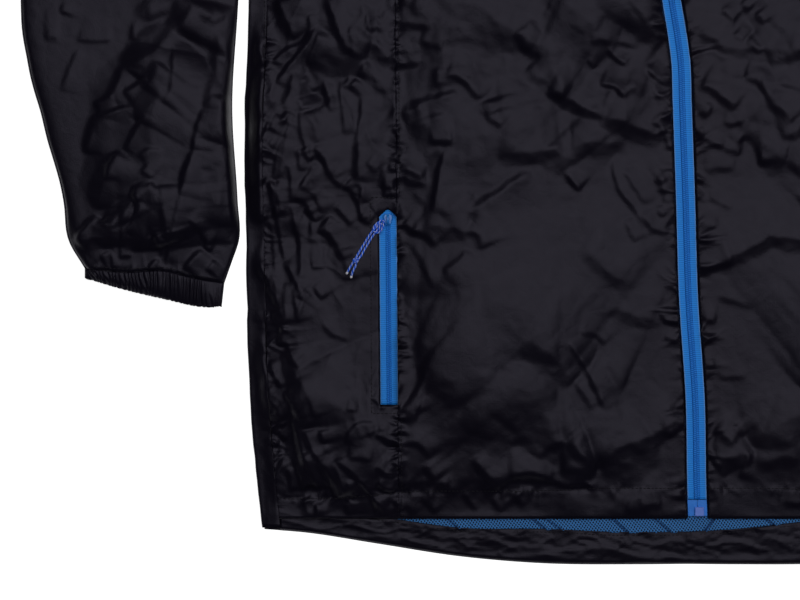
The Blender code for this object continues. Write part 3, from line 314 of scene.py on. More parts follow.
# Small pinched creases, for each panel: how many on each half, length, direction, its spread,
# half-width and height
PINCHES = {"centre": (80, 24, -25, 30, 1.7, 0.34), "side": (200, 25, 98, 30, 1.5, 0.6),
           "sleeve": (34, 40, 74, 26, 1.8, 0.3)}
# Where the cloth is most crumpled: x, v, radius and how much more
CRUMPLED = [(-300, 60, 90, 0.2), (-250, 20, 60, 0.3), (-70, 40, 80, 0.8), (-150, 90, 80, 0.7),
            (-425, 220, 55, 0.5), (-260, 370, 70, 0.9), (-120, 340, 100, 0.8), (50, 320, 80, 0.8),
            (290, 60, 80, 0.6), (430, 230, 55, 0.8), (-90, 190, 70, -0.3)]
FOLD_SLOPE, FOLD_GIRTH = 0.078, 3.2    # a flank's climb per unit of steepness, and of its width
                                       # with this much added
FINEST = 2.0                   # no flank is narrower, so that the grid can follow it
STRAIGHT = 9.0                 # a flank this wide is straight, and a narrower one is hollow
TIP_SHARE = 0.45               # a flank narrows to this share of its width at its ends
FLANK_WAVE = 0.22              # and wanders by this share of it
FOLD_FALL = (3.0, 3.2)         # a fold's gentle side: this wide, and this many flank widths more
RIPPLE, RIPPLE_PITCH = 0.14, 7.0       # the finest unevenness: its height and how far apart
SEAM_CALM = 5.0                # facets flatten this near a seam
ZIP_STIFF = 0.8                # the zip takes away this share of the folds that cross it
CREASE_SOFTNESS = 0.5          # the cloth turns over a crease within about this radius
SWAY = [(30.0, 1.4), (9.0, 0.25)]      # creases wander: over this distance, by this much
SWAY_CALM = 12.0               # but less, this near a seam

COLUMN_PITCH, ROW_PITCH = 1.6, 1.6     # where the folds are finest
SIDE_PITCH, SLEEVE_PITCH = 1.1, 1.35   # on the narrower panels
UPPER_PITCH = 3.4                      # rows above the chest
CHEST = 396.0
EDGE_STEPS = (0.35, 0.9, 1.6, 2.6)     # closer columns beside a sewn edge
EDGE_DROP, EDGE_DROP_REACH = 0.35, 0.7 # how far a sewn edge rolls down, and over what width
SHOULDER_DROP, ZIP_DROP = 0.7, 1.3     # and at the armhole and shoulder, and beside a zip
LOWEST, HEM_LOWEST = 1.9, 1.7          # the top layer stays over the back, and over the hems
FLOOR_SOFTNESS = 1.4
HIGH, HIGH_LEFT = 12.5, 7.5            # folds over this height sink, to at most this much more


# ---------------------------------------------------------------- plan curves and heights

def distances(path):
    """How far along a path each of its points lies."""
    return np.concatenate([[0], np.cumsum(np.linalg.norm(np.diff(path, axis=0), axis=1))])


def directions(path):
    """A path's unit direction at each of its points."""
    runs = np.gradient(path, axis=0)
    return runs / np.linalg.norm(runs, axis=1)[:, None]


def spread(path, shares):
    """The points of a path at the given shares, 0 to 1, of its length."""
    along = distances(path)
    return np.column_stack([np.interp(shares, along / along[-1], column)
                            for column in np.transpose(path)])


def curve(table, count):
    """`count` points, evenly spaced, on a smooth curve through a table's points."""
    knots = np.array(table, float)
    at = distances(knots)
    slopes = np.gradient(knots, at, axis=0)
    t = np.linspace(0, 1, 16, endpoint=False)[:, None]
    fine = []
    for k, chord in enumerate(np.diff(at)):
        fine.append((1 + 2 * t) * (1 - t) ** 2 * knots[k] + t * (1 - t) ** 2 * chord * slopes[k]
                    + t * t * (3 - 2 * t) * knots[k + 1] + t * t * (t - 1) * chord * slopes[k + 1])
    return spread(np.vstack(fine + [knots[-1:]]), np.linspace(0, 1, count))


def beside(path, distance):
    """A path moved sideways, to its right where the distance is positive."""
    ways = directions(path)
    return path + distance * np.column_stack([ways[:, 1], -ways[:, 0]])


def mirrored(path):
    return np.asarray(path, float) * (-1, 1)


def bell(distance, width):
    """1 where the distance is 0, and next to nothing beyond twice the width."""
    return np.exp(-(distance / width) ** 2)


def shares_of(length, pitch, near_start=(), near_end=()):
    """Shares of a length at an even pitch, with closer steps given in millimetres at its ends."""
    start = [0.0, *near_start]
    end = [length - step for step in reversed(near_end)] + [length]
    count = max(2, round((end[0] - start[-1]) / pitch))
    return np.array(start[:-1] + list(np.linspace(start[-1], end[0], count + 1)) + end[1:]) / length


def patch(bottom, top, across, up, left=None, right=None):
    """A Coons patch: plan points [row][column] between four sides; one not given is straight."""
    left = np.array([bottom[0], top[0]]) if left is None else left
    right = np.array([bottom[-1], top[-1]]) if right is None else right
    bottom, top = spread(bottom, across), spread(top, across)
    left, right = spread(left, up), spread(right, up)
    s, t = across[None, :, None], up[:, None, None]
    ruled = (1 - t) * bottom[None] + t * top[None] + (1 - s) * left[:, None] + s * right[:, None]
    return ruled - ((1 - t) * ((1 - s) * bottom[0] + s * bottom[-1])
                    + t * ((1 - s) * top[0] + s * top[-1]))


def nearest(path, x, v):
    """How far each plan point lies from a path, how far along it, and how far to its left."""
    best = np.full(np.shape(x), np.inf)
    at, left = np.zeros(np.shape(x)), np.zeros(np.shape(x))
    done = 0.0
    for (x0, v0), (x1, v1) in zip(path[:-1], path[1:]):
        run_x, run_v = x1 - x0, v1 - v0
        run = math.hypot(run_x, run_v)
        if run < 1e-9:
            continue
        share = np.clip(((x - x0) * run_x + (v - v0) * run_v) / run ** 2, 0, 1)
        away = np.hypot(x - x0 - share * run_x, v - v0 - share * run_v)
        at = np.where(away < best, done + share * run, at)
        left = np.where(away < best, ((v - v0) * run_x - (x - x0) * run_v) / run, left)
        best = np.minimum(away, best)
        done += run
    return best, at, left


ARMHOLE_PATH = curve(ARMHOLE, 61)
ARMHOLE_UNDER = ARMHOLE_PATH[:45]          # its lower stretch, to just past its inmost point
SIDE_TOP = ARMHOLE_PATH[:40]               # and what of it a side front's columns can end on
PRINCESS_AT, SLEEVE_AT = 36, 42            # where on it the princess seam ends, and where a
                                           # sleeve's head meets its closed inner edge
PRINCESS_TOP = ARMHOLE_PATH[PRINCESS_AT]
SIDE_PATH = curve([(320.5, 0)] + SIDE[1:], 49)
ZIP_TO_NECK = curve(ZIP_LINE, 120)
ZIP_PATH = np.vstack([ZIP_TO_NECK, [(0, 674), (0, ZIP_TOP)]])
OUTLINE = np.vstack([[(0, 0)], curve([(319.5, 0)] + SIDE[1:], 24), curve(SLEEVE_IN, 18)[::-1],
                     curve(CUFF_END, 6)[::-1], curve(SLEEVE_OUT, 36), SHOULDER,
                     curve(COLLAR_FRONT_TOP, 6)])
SEAMS = {"princess": [PRINCESS_FOOT, PRINCESS_TOP], "side seam": SIDE_PATH - (LIP, 0),
         "hem": curve(HEM_STITCH, 30), "armhole": ARMHOLE_PATH,
         "shoulder": SHOULDER, "neck": curve(FRONT_NECK, 20), "cuff": curve(CUFF_SEAM, 20)}


def zip_x(v):
    return np.interp(v, ZIP_PATH[:, 1], ZIP_PATH[:, 0])


def princess_out(v):
    return PRINCESS_FOOT[0] + (PRINCESS_TOP[0] - PRINCESS_FOOT[0]) * v / PRINCESS_TOP[1]


def noise(x, v, pitch, seed):
    """Smooth gradient noise, about -1 to 1, whose bumps are about `pitch` apart."""
    size = 128                     # it repeats after this many bumps
    angles = np.random.default_rng(seed).uniform(0, 2 * np.pi, (size, size))
    across, up = x / pitch + 40.37, v / pitch + 40.71
    column, row = np.floor(across).astype(int), np.floor(up).astype(int)
    across, up = across - column, up - row
    ease_x = across ** 3 * (across * (6 * across - 15) + 10)
    ease_v = up ** 3 * (up * (6 * up - 15) + 10)
    total = 0
    for i in (0, 1):
        for j in (0, 1):
            angle = angles[(column + i) % size, (row + j) % size]
            slope = np.cos(angle) * (across - i) + np.sin(angle) * (up - j)
            total = total + slope * (ease_x if i else 1 - ease_x) * (ease_v if j else 1 - ease_v)
    return 1.6 * total


# ---------------------------------------------------------------- folds, facets and puckers

# The cloth's relief is drawn on an even raster, one point to a millimetre, and read from there.
RASTER_X = np.arange(-530.0, 531.0)
RASTER_V = np.arange(-50.0, 831.0)
GRID_X, GRID_V = np.meshgrid(RASTER_X, RASTER_V)


def window(low, high):
    """The raster's rows and columns inside a box, given by two corners (x, v)."""
    return (slice(*np.searchsorted(RASTER_V, [low[1], high[1]])),
            slice(*np.searchsorted(RASTER_X, [low[0], high[0]])))


def panels():
    """Masks of the raster points on each kind of panel."""
    out = np.abs(GRID_X)
    side = np.interp(GRID_V, SIDE_PATH[:, 1], SIDE_PATH[:, 0])
    armhole = np.interp(-out, -ARMHOLE_UNDER[:, 0], ARMHOLE_UNDER[:, 1])
    inmost = ARMHOLE[4][0]
    sleeve = np.where(GRID_V < UNDERARM_V, out > side + 1, (GRID_V > armhole) & (out > inmost))
    beside_zip = out < princess_out(GRID_V)
    return {"sleeve": sleeve, "side": ~sleeve & ~beside_zip, "centre": ~sleeve & beside_zip}


def draw(relief, start, tip, bow, left, right, rise, blunt=False):
    """Adds a crease: a crest between two points with a flank on its left and right.

    It tapers to both ends, or from a blunt start to its tip alone.
    """
    (x0, v0), (x1, v1) = start, tip
    fade = 2.6                     # a flank ends at this many times its width
    reach = fade * max(left, right) + abs(bow) + 2
    box = window((min(x0, x1) - reach, min(v0, v1) - reach),
                 (max(x0, x1) + reach, max(v0, v1) + reach))
    x, v = GRID_X[box], GRID_V[box]
    run_x, run_v = x1 - x0, v1 - v0
    length = math.hypot(run_x, run_v)
    along = ((x - x0) * run_x + (v - v0) * run_v) / length ** 2
    inside = np.clip(along, 0, 1)
    off = ((v - v0) * run_x - (x - x0) * run_v) / length - bow * 4 * inside * (1 - inside)
    full = 1 - inside if blunt else 1 - np.abs(2 * inside - 1) ** 1.8
    flank = np.where(off > 0, left, right) * (TIP_SHARE + (1 - TIP_SHARE) * full)
    away = np.hypot(off / flank, (along - inside) * length / 2.5)
    relief[box] += rise * full ** 0.9 * np.exp(-1.9 * away) * (away < fade)


def fold(relief, width, steepness, *numbers):
    """Adds a fold: a steep flank on its run's right, a crest and a gentle fall on its left."""
    path = curve(list(zip(numbers[::2], numbers[1::2])), 12 if len(numbers) > 4 else 2)
    width = max(width, FINEST)
    rise = FOLD_SLOPE * steepness * (width + FOLD_GIRTH)
    fall = FOLD_FALL[0] + FOLD_FALL[1] * width
    reach = width + 3.5 * fall
    box = window(path.min(axis=0) - reach, path.max(axis=0) + reach)
    x, v = GRID_X[box], GRID_V[box]
    away, along, off = nearest(path, x, v)
    along = np.clip(along / distances(path)[-1], 0, 1)
    off = off + FLANK_WAVE * width * noise(x, v, 5 + 0.8 * width, seed=31)
    # A narrow fold keeps its height almost to its ends, and a broad one sinks sooner.
    full = (1 - np.abs(2 * along - 1) ** (2.6 + 4 * math.exp(-width / 4))) ** 0.8
    flank = width * (TIP_SHARE + (1 - TIP_SHARE) * full)
    ramp = np.clip(off / (1.5 * flank) + 2 / 3, 0, 1)
    broad = min(0.9, width / STRAIGHT)
    climb = (1 - broad) * ramp ** 2 + broad * ramp
    beyond = np.maximum(0, away - flank / 2) / np.where(off > 0, fall, flank)
    relief[box] += rise * full * climb * np.exp(-beyond ** 1.3)


def repeated():
    """The folds of the hidden zones, made from the other folds."""
    made = []
    for table, least, (x0, v0, x1, v1), way, (move_x, move_v) in REPEATED:
        for width, steepness, *numbers in table:
            points = np.array(numbers, float).reshape(-1, 2)
            x, v = points.mean(axis=0)
            if width >= least and x0 < x < x1 and v0 < v < v1:
                points = points * (way, 1) + (move_x, move_v)
                made.append((width, steepness, *(points[::way]).ravel()))
    return made


def facets(length, width, angle, rise, seed):
    """Flat triangles between scattered points: a raster of heights."""
    random = np.random.default_rng(seed)
    turn = math.radians(angle)
    spin = np.array([[math.cos(turn), math.sin(turn)], [-math.sin(turn), math.cos(turn)]])
    reach, jitter, margin = 1000, 0.46, 100
    a, b = np.meshgrid(np.arange(-reach, reach, float(length)),
                       np.arange(-reach, reach, float(width)))
    points = np.column_stack([a.ravel(), b.ravel()])
    points += random.uniform(-jitter, jitter, points.shape) * (length, width)
    heights = random.normal(0, rise, len(points))
    points = points @ spin + (0, 300)
    near = ((np.abs(points[:, 0]) < RASTER_X[-1] + margin + 10)
            & (points[:, 1] > RASTER_V[0] - margin) & (points[:, 1] < RASTER_V[-1] + margin))
    points, heights = points[near], heights[near]
    made = delaunay_2d_cdt([Vector(point) for point in points], [], [], 0, 1e-4)
    relief = np.zeros(GRID_X.shape)
    for corners in made[2]:
        p, q, r = points[list(corners)]
        box = window(np.minimum(np.minimum(p, q), r), np.maximum(np.maximum(p, q), r))
        x, v = GRID_X[box] - p[0], GRID_V[box] - p[1]
        (qx, qv), (rx, rv) = q - p, r - p
        area = qx * rv - qv * rx
        s, t = (x * rv - v * rx) / area, (v * qx - x * qv) / area
        z = [heights[k] for k in corners]
        flat = z[0] + s * (z[1] - z[0]) + t * (z[2] - z[0])
        relief[box] = np.where((s >= 0) & (t >= 0) & (s + t <= 1), flat, relief[box])
    return relief


def soften(relief, radius):
    """The relief with its creases rounded."""
    steps = np.arange(-math.ceil(3 * radius), math.ceil(3 * radius) + 1)
    weights = np.exp(-(steps / radius) ** 2 / 2)
    weights /= weights.sum()
    for axis in (0, 1):
        padded = np.pad(relief, [(len(steps) // 2,) * 2 if k == axis else (0, 0) for k in (0, 1)],
                        mode="edge")
        relief = sum(weight * np.take(padded, range(k, k + relief.shape[axis]), axis=axis)
                     for k, weight in enumerate(weights))
    return relief


def pucker(relief):
    """Short uneven creases that run out from each stitched line."""
    random = np.random.default_rng(4)
    for name, (spacing, length, half_width, rise, lean) in PUCKERS.items():
        at_zip = name == "zip"
        path = ZIP_TO_NECK if at_zip else np.array(SEAMS[name], float)
        total = distances(path)[-1]
        gap = ZIP_HALF if at_zip else SEAM_GAP
        for half, _ in HALVES:
            for side in (-1, 1):
                at = random.uniform(0, spacing)
                while at < total:
                    # They gather and thin out along the seam.
                    busy = 0.35 + 0.65 * math.sin(at / 23.0 + 3 * side + half) ** 2
                    here, there = spread(path, [at / total, min(1, (at + 1) / total)])
                    way = math.atan2(*(there - here)[::-1])
                    turn = way + math.radians(90 * side + random.normal(0, lean))
                    reach = length * busy * random.uniform(0.45, 1.5)
                    out = np.array([math.cos(turn), math.sin(turn)])
                    start, tip = here + gap * out, here + (gap + reach) * out
                    size = half_width * random.uniform(0.7, 1.4)
                    flip = (1 if at_zip else half, 1)
                    # The zip is puckered on both its sides, a seam on one side on each half.
                    if not at_zip or side == half:
                        draw(relief, start * flip, tip * flip, random.normal(0, 0.08) * reach,
                             size, size * random.uniform(0.7, 1.4),
                             rise * busy * random.choice([1, 1, -0.6]) * random.uniform(0.5, 1.3),
                             blunt=True)
                    at += spacing * random.uniform(0.4, 1.6)


def pinch(relief, mask, busy, count, length, angle, spread_angle, half_width, rise, seed):
    """Small scattered creases on one kind of panel, closer together where it is crumpled."""
    random = np.random.default_rng(seed)
    rows, columns = np.nonzero(mask & (GRID_V > 0) & (GRID_V < 700) & (np.abs(GRID_X) < 505))
    likely = busy[rows, columns] ** 1.5
    for pick in random.choice(len(rows), 2 * count, p=likely / likely.sum()):
        middle = np.array([RASTER_X[columns[pick]], RASTER_V[rows[pick]]])
        lean = angle if middle[0] < 0 else 180 - angle
        turn = math.radians(lean + random.normal(0, spread_angle))
        reach = length * random.uniform(0.35, 1.5) / 2
        arm = reach * np.array([math.cos(turn), math.sin(turn)])
        size = half_width * random.uniform(0.7, 1.5)
        draw(relief, middle - arm, middle + arm, random.normal(0, 0.1) * reach,
             size, size * random.uniform(0.8, 1.6),
             rise * random.uniform(0.4, 1.4) * random.choice([1, 1, -0.8]))


def make_relief():
    """The folds, facets, pinches and puckers of the whole upper layer."""
    masks = panels()
    relief = np.zeros(GRID_X.shape)
    busy = np.clip(0.75 + 0.9 * noise(GRID_X, GRID_V, 120.0, seed=3), 0.35, 1.35)
    for x, v, radius, gain in CRUMPLED:
        busy += gain * np.exp(-((GRID_X - x) ** 2 + (GRID_V - v) ** 2) / radius ** 2)
    for seed, (name, layers) in enumerate(FACETS.items()):
        for layer, (length, width, angle, rise, softness) in enumerate(layers):
            for half, _ in HALVES:
                lean = angle if half < 0 else 180 - angle
                on = masks[name] & (GRID_X * half >= 0)
                made = facets(length, width, lean, rise, 100 + 10 * seed + 3 * layer + half)
                relief[on] += (soften(made, softness) * busy)[on]
        pinch(relief, masks[name], busy, *PINCHES[name], seed=200 + seed)
    seam = np.minimum(nearest(SEAMS["princess"], np.abs(GRID_X), GRID_V)[0],
                      nearest(ARMHOLE_PATH, np.abs(GRID_X), GRID_V)[0])
    relief *= 1 - bell(seam, SEAM_CALM)
    for row in SIDE_FOLDS + FRONT_FOLDS + SLEEVE_FOLDS + repeated():
        fold(relief, *row)
    relief += RIPPLE * noise(GRID_X, GRID_V, RIPPLE_PITCH, seed=12) * busy
    relief = swayed(relief, 1 - bell(seam, SWAY_CALM))
    stiff = bell(GRID_X - zip_x(GRID_V), 1.3 * ZIP_HALF) * (GRID_V < ZIP_TOP)
    relief *= 1 - ZIP_STIFF * stiff
    pucker(relief)
    return soften(relief, CREASE_SOFTNESS)


def swayed(relief, free):
    """The relief with its straight creases bent unevenly, where the cloth is free."""
    x, v = GRID_X.copy(), GRID_V.copy()
    for k, (pitch, sway) in enumerate(SWAY):
        x += free * sway * noise(GRID_X, GRID_V, pitch, seed=300 + k)
        v += free * sway * noise(GRID_X, GRID_V, pitch, seed=310 + k)
    return read(relief, x, v)


def read(relief, x, v):
    """A raster's heights at plan points."""
    across = np.clip(x - RASTER_X[0], 0, len(RASTER_X) - 1.001)
    up = np.clip(v - RASTER_V[0], 0, len(RASTER_V) - 1.001)
    column, row = across.astype(int), up.astype(int)
    s, t = across - column, up - row
    return ((1 - t) * ((1 - s) * relief[row, column] + s * relief[row, column + 1])
            + t * ((1 - s) * relief[row + 1, column] + s * relief[row + 1, column + 1]))


def surface(x, v, relief):
    """The outer face's height over the floor, wherever a front or a sleeve is on top."""
    out = np.abs(x)
    away = nearest(OUTLINE, out, v)[0]
    near_hem = np.clip(1 - v / HEM_LIFT_REACH, 0, 1) * (out < HEM_LIFT_OUT)
    on_sleeve = np.clip((out - UNDERARM) / ARM_BLEND, 0, 1)
    reach = LOFT_REACH + (SLEEVE_REACH - LOFT_REACH) * on_sleeve
    z = FLAT + HEM_LIFT * near_hem + LOFT * (1 - np.exp(-away / reach))
    if relief is not None:
        calm = EDGE_SHARE + (1 - EDGE_SHARE) * (1 - bell(away, EDGE_CALM))
        z = z + calm * read(relief, x, v)
    over = z - LOWEST - HEM_LOWEST * (near_hem > 0)
    z = z - over + 0.5 * (over + np.sqrt(over ** 2 + FLOOR_SOFTNESS))
    high = np.maximum(0, z - HIGH)
    return z - high + HIGH_LEFT * np.tanh(high / HIGH_LEFT)


def level(plan, z):
    """Plan points at one height, or each at its own: (x, v, z)."""
    return np.concatenate([plan, np.broadcast_to(z, plan.shape[:-1])[..., None]], axis=-1)


def laid(plan, relief=None):
    """Plan points given the top layer's height."""
    return level(plan, surface(plan[..., 0], plan[..., 1], relief))


def roll(grid, path, drop=EDGE_DROP, reach=EDGE_DROP_REACH):
    """Lowers a grid beside a sewn edge."""
    grid[..., 2] -= drop * bell(nearest(path, grid[..., 0], grid[..., 1])[0], reach)
    return grid


def placed(points):
    """Table millimetres turned into the frame's metres."""
    points = np.asarray(points, float).reshape(-1, 3)
    return (points - (0, MIDDLE, 0)) * MM


# ---------------------------------------------------------------- camera, light and floor

def linear(code):
    """A colour's sRGB hex code as linear RGBA."""
    values = np.array([int(code[k:k + 2], 16) for k in (1, 3, 5)]) / 255
    values = np.where(values <= 0.04045, values / 12.92, ((values + 0.055) / 1.055) ** 2.4)
    return (*(float(v) for v in values), 1.0)


# Each area lamp: where it hangs, its two sides and its power; all aim at the table's middle
LAMPS = {"overhead": ((0.17, 0.45, 2.5), (2.74, 1.9), 33.5),
         "side": ((2.4, 1.4, 1.5), (1.4, 1.4), 8.0)}
CAMERA = (-0.216, -0.2215, 2.006)
TABLE_REACH, TABLE_DROP = 6.0, 0.0004


def set_stage():
    """A camera looking straight down, a white light table and two soft lamps."""
    scene = bpy.context.scene
    scene.view_settings.view_transform = "Standard"
    lens = bpy.data.cameras.new("camera")
    lens.lens, lens.sensor_width = 120, 36
    camera = bpy.data.objects.new("camera", lens)
    camera.location = CAMERA
    scene.collection.objects.link(camera)
    scene.camera = camera

    scene.world = bpy.data.worlds.new("studio")
    scene.world.use_nodes = True
    background = scene.world.node_tree.nodes["Background"]
    background.inputs["Color"].default_value = linear("#e8ebff")
    background.inputs["Strength"].default_value = 0.05
    for name, (place, size, watts) in LAMPS.items():
        light = bpy.data.lights.new(name, "AREA")
        light.shape = "RECTANGLE"
        light.size, light.size_y, light.energy = *size, watts
        lamp = bpy.data.objects.new(name, light)
        lamp.location = place
        lamp.rotation_euler = (-Vector(place)).to_track_quat("-Z", "Y").to_euler()
        scene.collection.objects.link(lamp)

    mesh = bpy.data.meshes.new("floor")
    corners = [(-1, -1), (1, -1), (1, 1), (-1, 1)]
    mesh.from_pydata([(x * TABLE_REACH, y * TABLE_REACH, 0) for x, y in corners], [], [(0, 1, 2, 3)])
    floor = bpy.data.objects.new("floor", mesh)
    floor.location.z = -TABLE_DROP
    scene.collection.objects.link(floor)
    # Diffusing acrylic over lamps: even white, without a gloss.
    white, _ = finish("light table, opal acrylic, lit from below", "#f4f4f4", 0.9,
                      Emission_Color=linear("#ffffff"), Emission_Strength=0.85)
    mesh.materials.append(white)


# ---------------------------------------------------------------- materials

WAVE = 0.31416                 # a wave texture's scale for bands one unit apart
# Mix nodes name their colour inputs A and B by number: 6 and 7


def node(tree, kind, inputs=None, **settings):
    """Adds a node with its settings; an input's value may be another node's output."""
    made = tree.nodes.new(kind)
    for name, value in settings.items():
        setattr(made, name, value)
    for name, value in (inputs or {}).items():
        if isinstance(value, bpy.types.NodeSocket):
            tree.links.new(value, made.inputs[name])
        else:
            made.inputs[name].default_value = value
    return made


def finish(name, colour, roughness, metallic=0.0, ior=1.5, **sockets):
    """A material with one Principled shader."""
    material = bpy.data.materials.new(name)
    material.use_nodes = True
    shader = material.node_tree.nodes["Principled BSDF"]
    shader.inputs["Base Color"].default_value = linear(colour)
    shader.inputs["Roughness"].default_value = roughness
    shader.inputs["Metallic"].default_value = metallic
    shader.inputs["IOR"].default_value = ior
    for socket, value in sockets.items():
        shader.inputs[socket.replace("_", " ")].default_value = value
    return material, shader


def black_nylon():
    """Nylon taffeta, plain woven and calendered: near black, with a low soft gloss."""
    material, shader = finish("nylon taffeta, calendered, black", "#0b0a14", 0.42,
                              Specular_IOR_Level=0.2, Specular_Tint=linear("#ece6ff"))
    tree = material.node_tree
    place = node(tree, "ShaderNodeTexCoord").outputs["Object"]
    grain = node(tree, "ShaderNodeUVMap", uv_map="grain").outputs["UV"]
    # Its threads are 0.15 mm apart; they are drawn 1.6 mm apart, the finest that shows.
    threads = [node(tree, "ShaderNodeTexWave", {"Vector": grain, "Scale": WAVE / 1.6},
                    bands_direction=axis).outputs["Fac"] for axis in ("X", "Y")]
    weave = node(tree, "ShaderNodeMath", {0: threads[0], 1: threads[1]}, operation="MULTIPLY")
    creases = node(tree, "ShaderNodeTexNoise", {"Vector": place, "Scale": 130.0, "Detail": 4.0,
                                                "Roughness": 0.6, "Distortion": 0.6})
    small = node(tree, "ShaderNodeBump", {"Height": creases.outputs["Fac"], "Strength": 0.2,
                                          "Distance": 0.0012})
    bump = node(tree, "ShaderNodeBump", {"Height": weave.outputs[0], "Strength": 0.12,
                                         "Distance": 0.0001, "Normal": small.outputs["Normal"]})
    tree.links.new(bump.outputs["Normal"], shader.inputs["Normal"])
    broad = node(tree, "ShaderNodeTexNoise", {"Vector": place, "Scale": 7.0, "Detail": 2.0})
    tint = node(tree, "ShaderNodeMix", {"Factor": broad.outputs["Fac"], 6: linear("#0a0914"),
                                        7: linear("#0f0b14")}, data_type="RGBA")
    tree.links.new(tint.outputs[2], shader.inputs["Base Color"])
    gloss = node(tree, "ShaderNodeMapRange", {"Value": creases.outputs["Fac"], "To Min": 0.34,
                                              "To Max": 0.46})
    tree.links.new(gloss.outputs["Result"], shader.inputs["Roughness"])
    return material


def dyed(name, colour, other, roughness, grain, depth, **sockets):
    """A surface that wanders between two colours, with a grain in relief; sizes in metres."""
    material, shader = finish(name, colour, roughness, **sockets)
    tree = material.node_tree
    place = node(tree, "ShaderNodeTexCoord").outputs["Object"]
    specks = node(tree, "ShaderNodeTexNoise", {"Vector": place, "Scale": 1 / grain,
                                               "Detail": 3.0}).outputs["Fac"]
    tint = node(tree, "ShaderNodeMix", {"Factor": specks, 6: linear(colour), 7: linear(other)},
                data_type="RGBA")
    tree.links.new(tint.outputs[2], shader.inputs["Base Color"])
    bump = node(tree, "ShaderNodeBump", {"Height": specks, "Strength": 0.6, "Distance": depth})
    tree.links.new(bump.outputs["Normal"], shader.inputs["Normal"])
    return material


def blue_tape():
    """Woven polyester zip tape: matt blue in fine cross ribs, lighter and greyer towards its outer
    edges.
    """
    material, shader = finish("polyester tape, rib woven, blue", "#1480e4", 0.62,
                              Specular_IOR_Level=0.25)
    tree = material.node_tree
    grain = node(tree, "ShaderNodeUVMap", uv_map="grain").outputs["UV"]
    across = node(tree, "ShaderNodeAttribute", attribute_name="across").outputs["Fac"]
    # Its ribs are 0.6 mm apart; they are drawn 1.6 mm apart, the finest that shows.
    ribs = node(tree, "ShaderNodeTexWave", {"Vector": grain, "Scale": WAVE / 1.6, "Distortion": 1.0,
                                            "Detail": 1.0}, bands_direction="Y").outputs["Fac"]
    shade = node(tree, "ShaderNodeMix", {"Factor": ribs, 6: linear("#1780e4"),
                                         7: linear("#2c9cff")}, data_type="RGBA")
    # The colour turns lighter and greyer towards the tape's outer edges.
    edge = node(tree, "ShaderNodeMapRange", {"Value": across, "From Min": 0.84, "From Max": 0.96,
                                             "To Max": 0.65})
    edge_lightened = node(tree, "ShaderNodeMix", {"Factor": edge.outputs["Result"], 6: shade.outputs[2],
                                         7: linear("#86b2ea")}, data_type="RGBA")
    tree.links.new(edge_lightened.outputs[2], shader.inputs["Base Color"])
    bump = node(tree, "ShaderNodeBump", {"Height": ribs, "Strength": 0.4, "Distance": 0.0002})
    tree.links.new(bump.outputs["Normal"], shader.inputs["Normal"])
    return material


def knitted_mesh():
    """Warp-knitted polyester mesh: soft blue threads round small dark holes, with painted shade
    darkening it in a crease.
    """
    material, shader = finish("polyester mesh, warp knitted, blue", "#3f7fc4", 0.75,
                              Specular_IOR_Level=0.2)
    tree = material.node_tree
    grain = node(tree, "ShaderNodeUVMap", uv_map="grain").outputs["UV"]
    # Its holes are 1.2 mm apart; they are drawn 1.9 mm apart, the finest that shows.
    threads = []
    for turn in (math.radians(38), math.radians(-38)):
        turned = node(tree, "ShaderNodeMapping", {"Vector": grain, "Rotation": (0, 0, turn)})
        wave = node(tree, "ShaderNodeTexWave", {"Vector": turned.outputs["Vector"],
                                                "Scale": WAVE / 1.9, "Distortion": 0.6})
        threads.append(wave.outputs["Fac"])
    net = node(tree, "ShaderNodeMath", {0: threads[0], 1: threads[1]}, operation="MAXIMUM")
    solid = node(tree, "ShaderNodeMapRange", {"Value": net.outputs[0], "From Min": 0.5,
                                              "From Max": 0.95})
    colour = node(tree, "ShaderNodeMix", {"Factor": solid.outputs["Result"],
                                          6: linear("#0c1c33"), 7: linear("#4486cc")},
                  data_type="RGBA")
    # Painted shade: the net's colour turns dark navy along each crease.
    crease_shade = node(tree, "ShaderNodeAttribute", attribute_name="across").outputs["Fac"]
    shade_in_crease = node(tree, "ShaderNodeMix", {"Factor": crease_shade, 6: colour.outputs[2],
                                           7: linear("#0c2c5c")}, data_type="RGBA")
    tree.links.new(shade_in_crease.outputs[2], shader.inputs["Base Color"])
    bump = node(tree, "ShaderNodeBump", {"Height": net.outputs[0], "Strength": 0.6,
                                         "Distance": 0.0004})
    tree.links.new(bump.outputs["Normal"], shader.inputs["Normal"])
    return material


def braided_cord():
    """Braided polyester cord: blue, with white flecks that climb it on a slant."""
    material, shader = finish("polyester cord, braided, blue and white", "#2f7fd8", 0.6,
                              Specular_IOR_Level=0.3)
    tree = material.node_tree
    braid = node(tree, "ShaderNodeUVMap", uv_map="braid").outputs["UV"]
    slant = node(tree, "ShaderNodeMapping", {"Vector": braid, "Rotation": (0, 0, 0.7)})
    strand = node(tree, "ShaderNodeTexWave", {"Vector": slant.outputs["Vector"],
                                              "Scale": WAVE / 2.2, "Distortion": 1.5})
    fleck = node(tree, "ShaderNodeMapRange", {"Value": strand.outputs["Fac"], "From Min": 0.7,
                                              "From Max": 0.93})
    colour = node(tree, "ShaderNodeMix", {"Factor": fleck.outputs["Result"], 6: linear("#1660e6"),
                                          7: linear("#c4ccf0")}, data_type="RGBA")
    tree.links.new(colour.outputs[2], shader.inputs["Base Color"])
    bump = node(tree, "ShaderNodeBump", {"Height": strand.outputs["Fac"], "Strength": 0.5,
                                         "Distance": 0.0002})
    tree.links.new(bump.outputs["Normal"], shader.inputs["Normal"])
    return material


# ---------------------------------------------------------------- cloth pieces

# About how wide each piece is, for the number of its columns
FRONT_WIDTH, SIDE_WIDTH, SLEEVE_WIDTH, BACK_WIDTH = 215, 76, 130, 640
CUFF_WIDTH, CUFF_DEPTH, COLLAR_WIDTH, COLLAR_DEPTH = 106, 20, 110, 64
RIB_PITCH, RIB_HEIGHT = 3.1, 1.5       # of the cuff's gathers
FOLD_STEPS = 5                         # columns in a pressed fold's half round
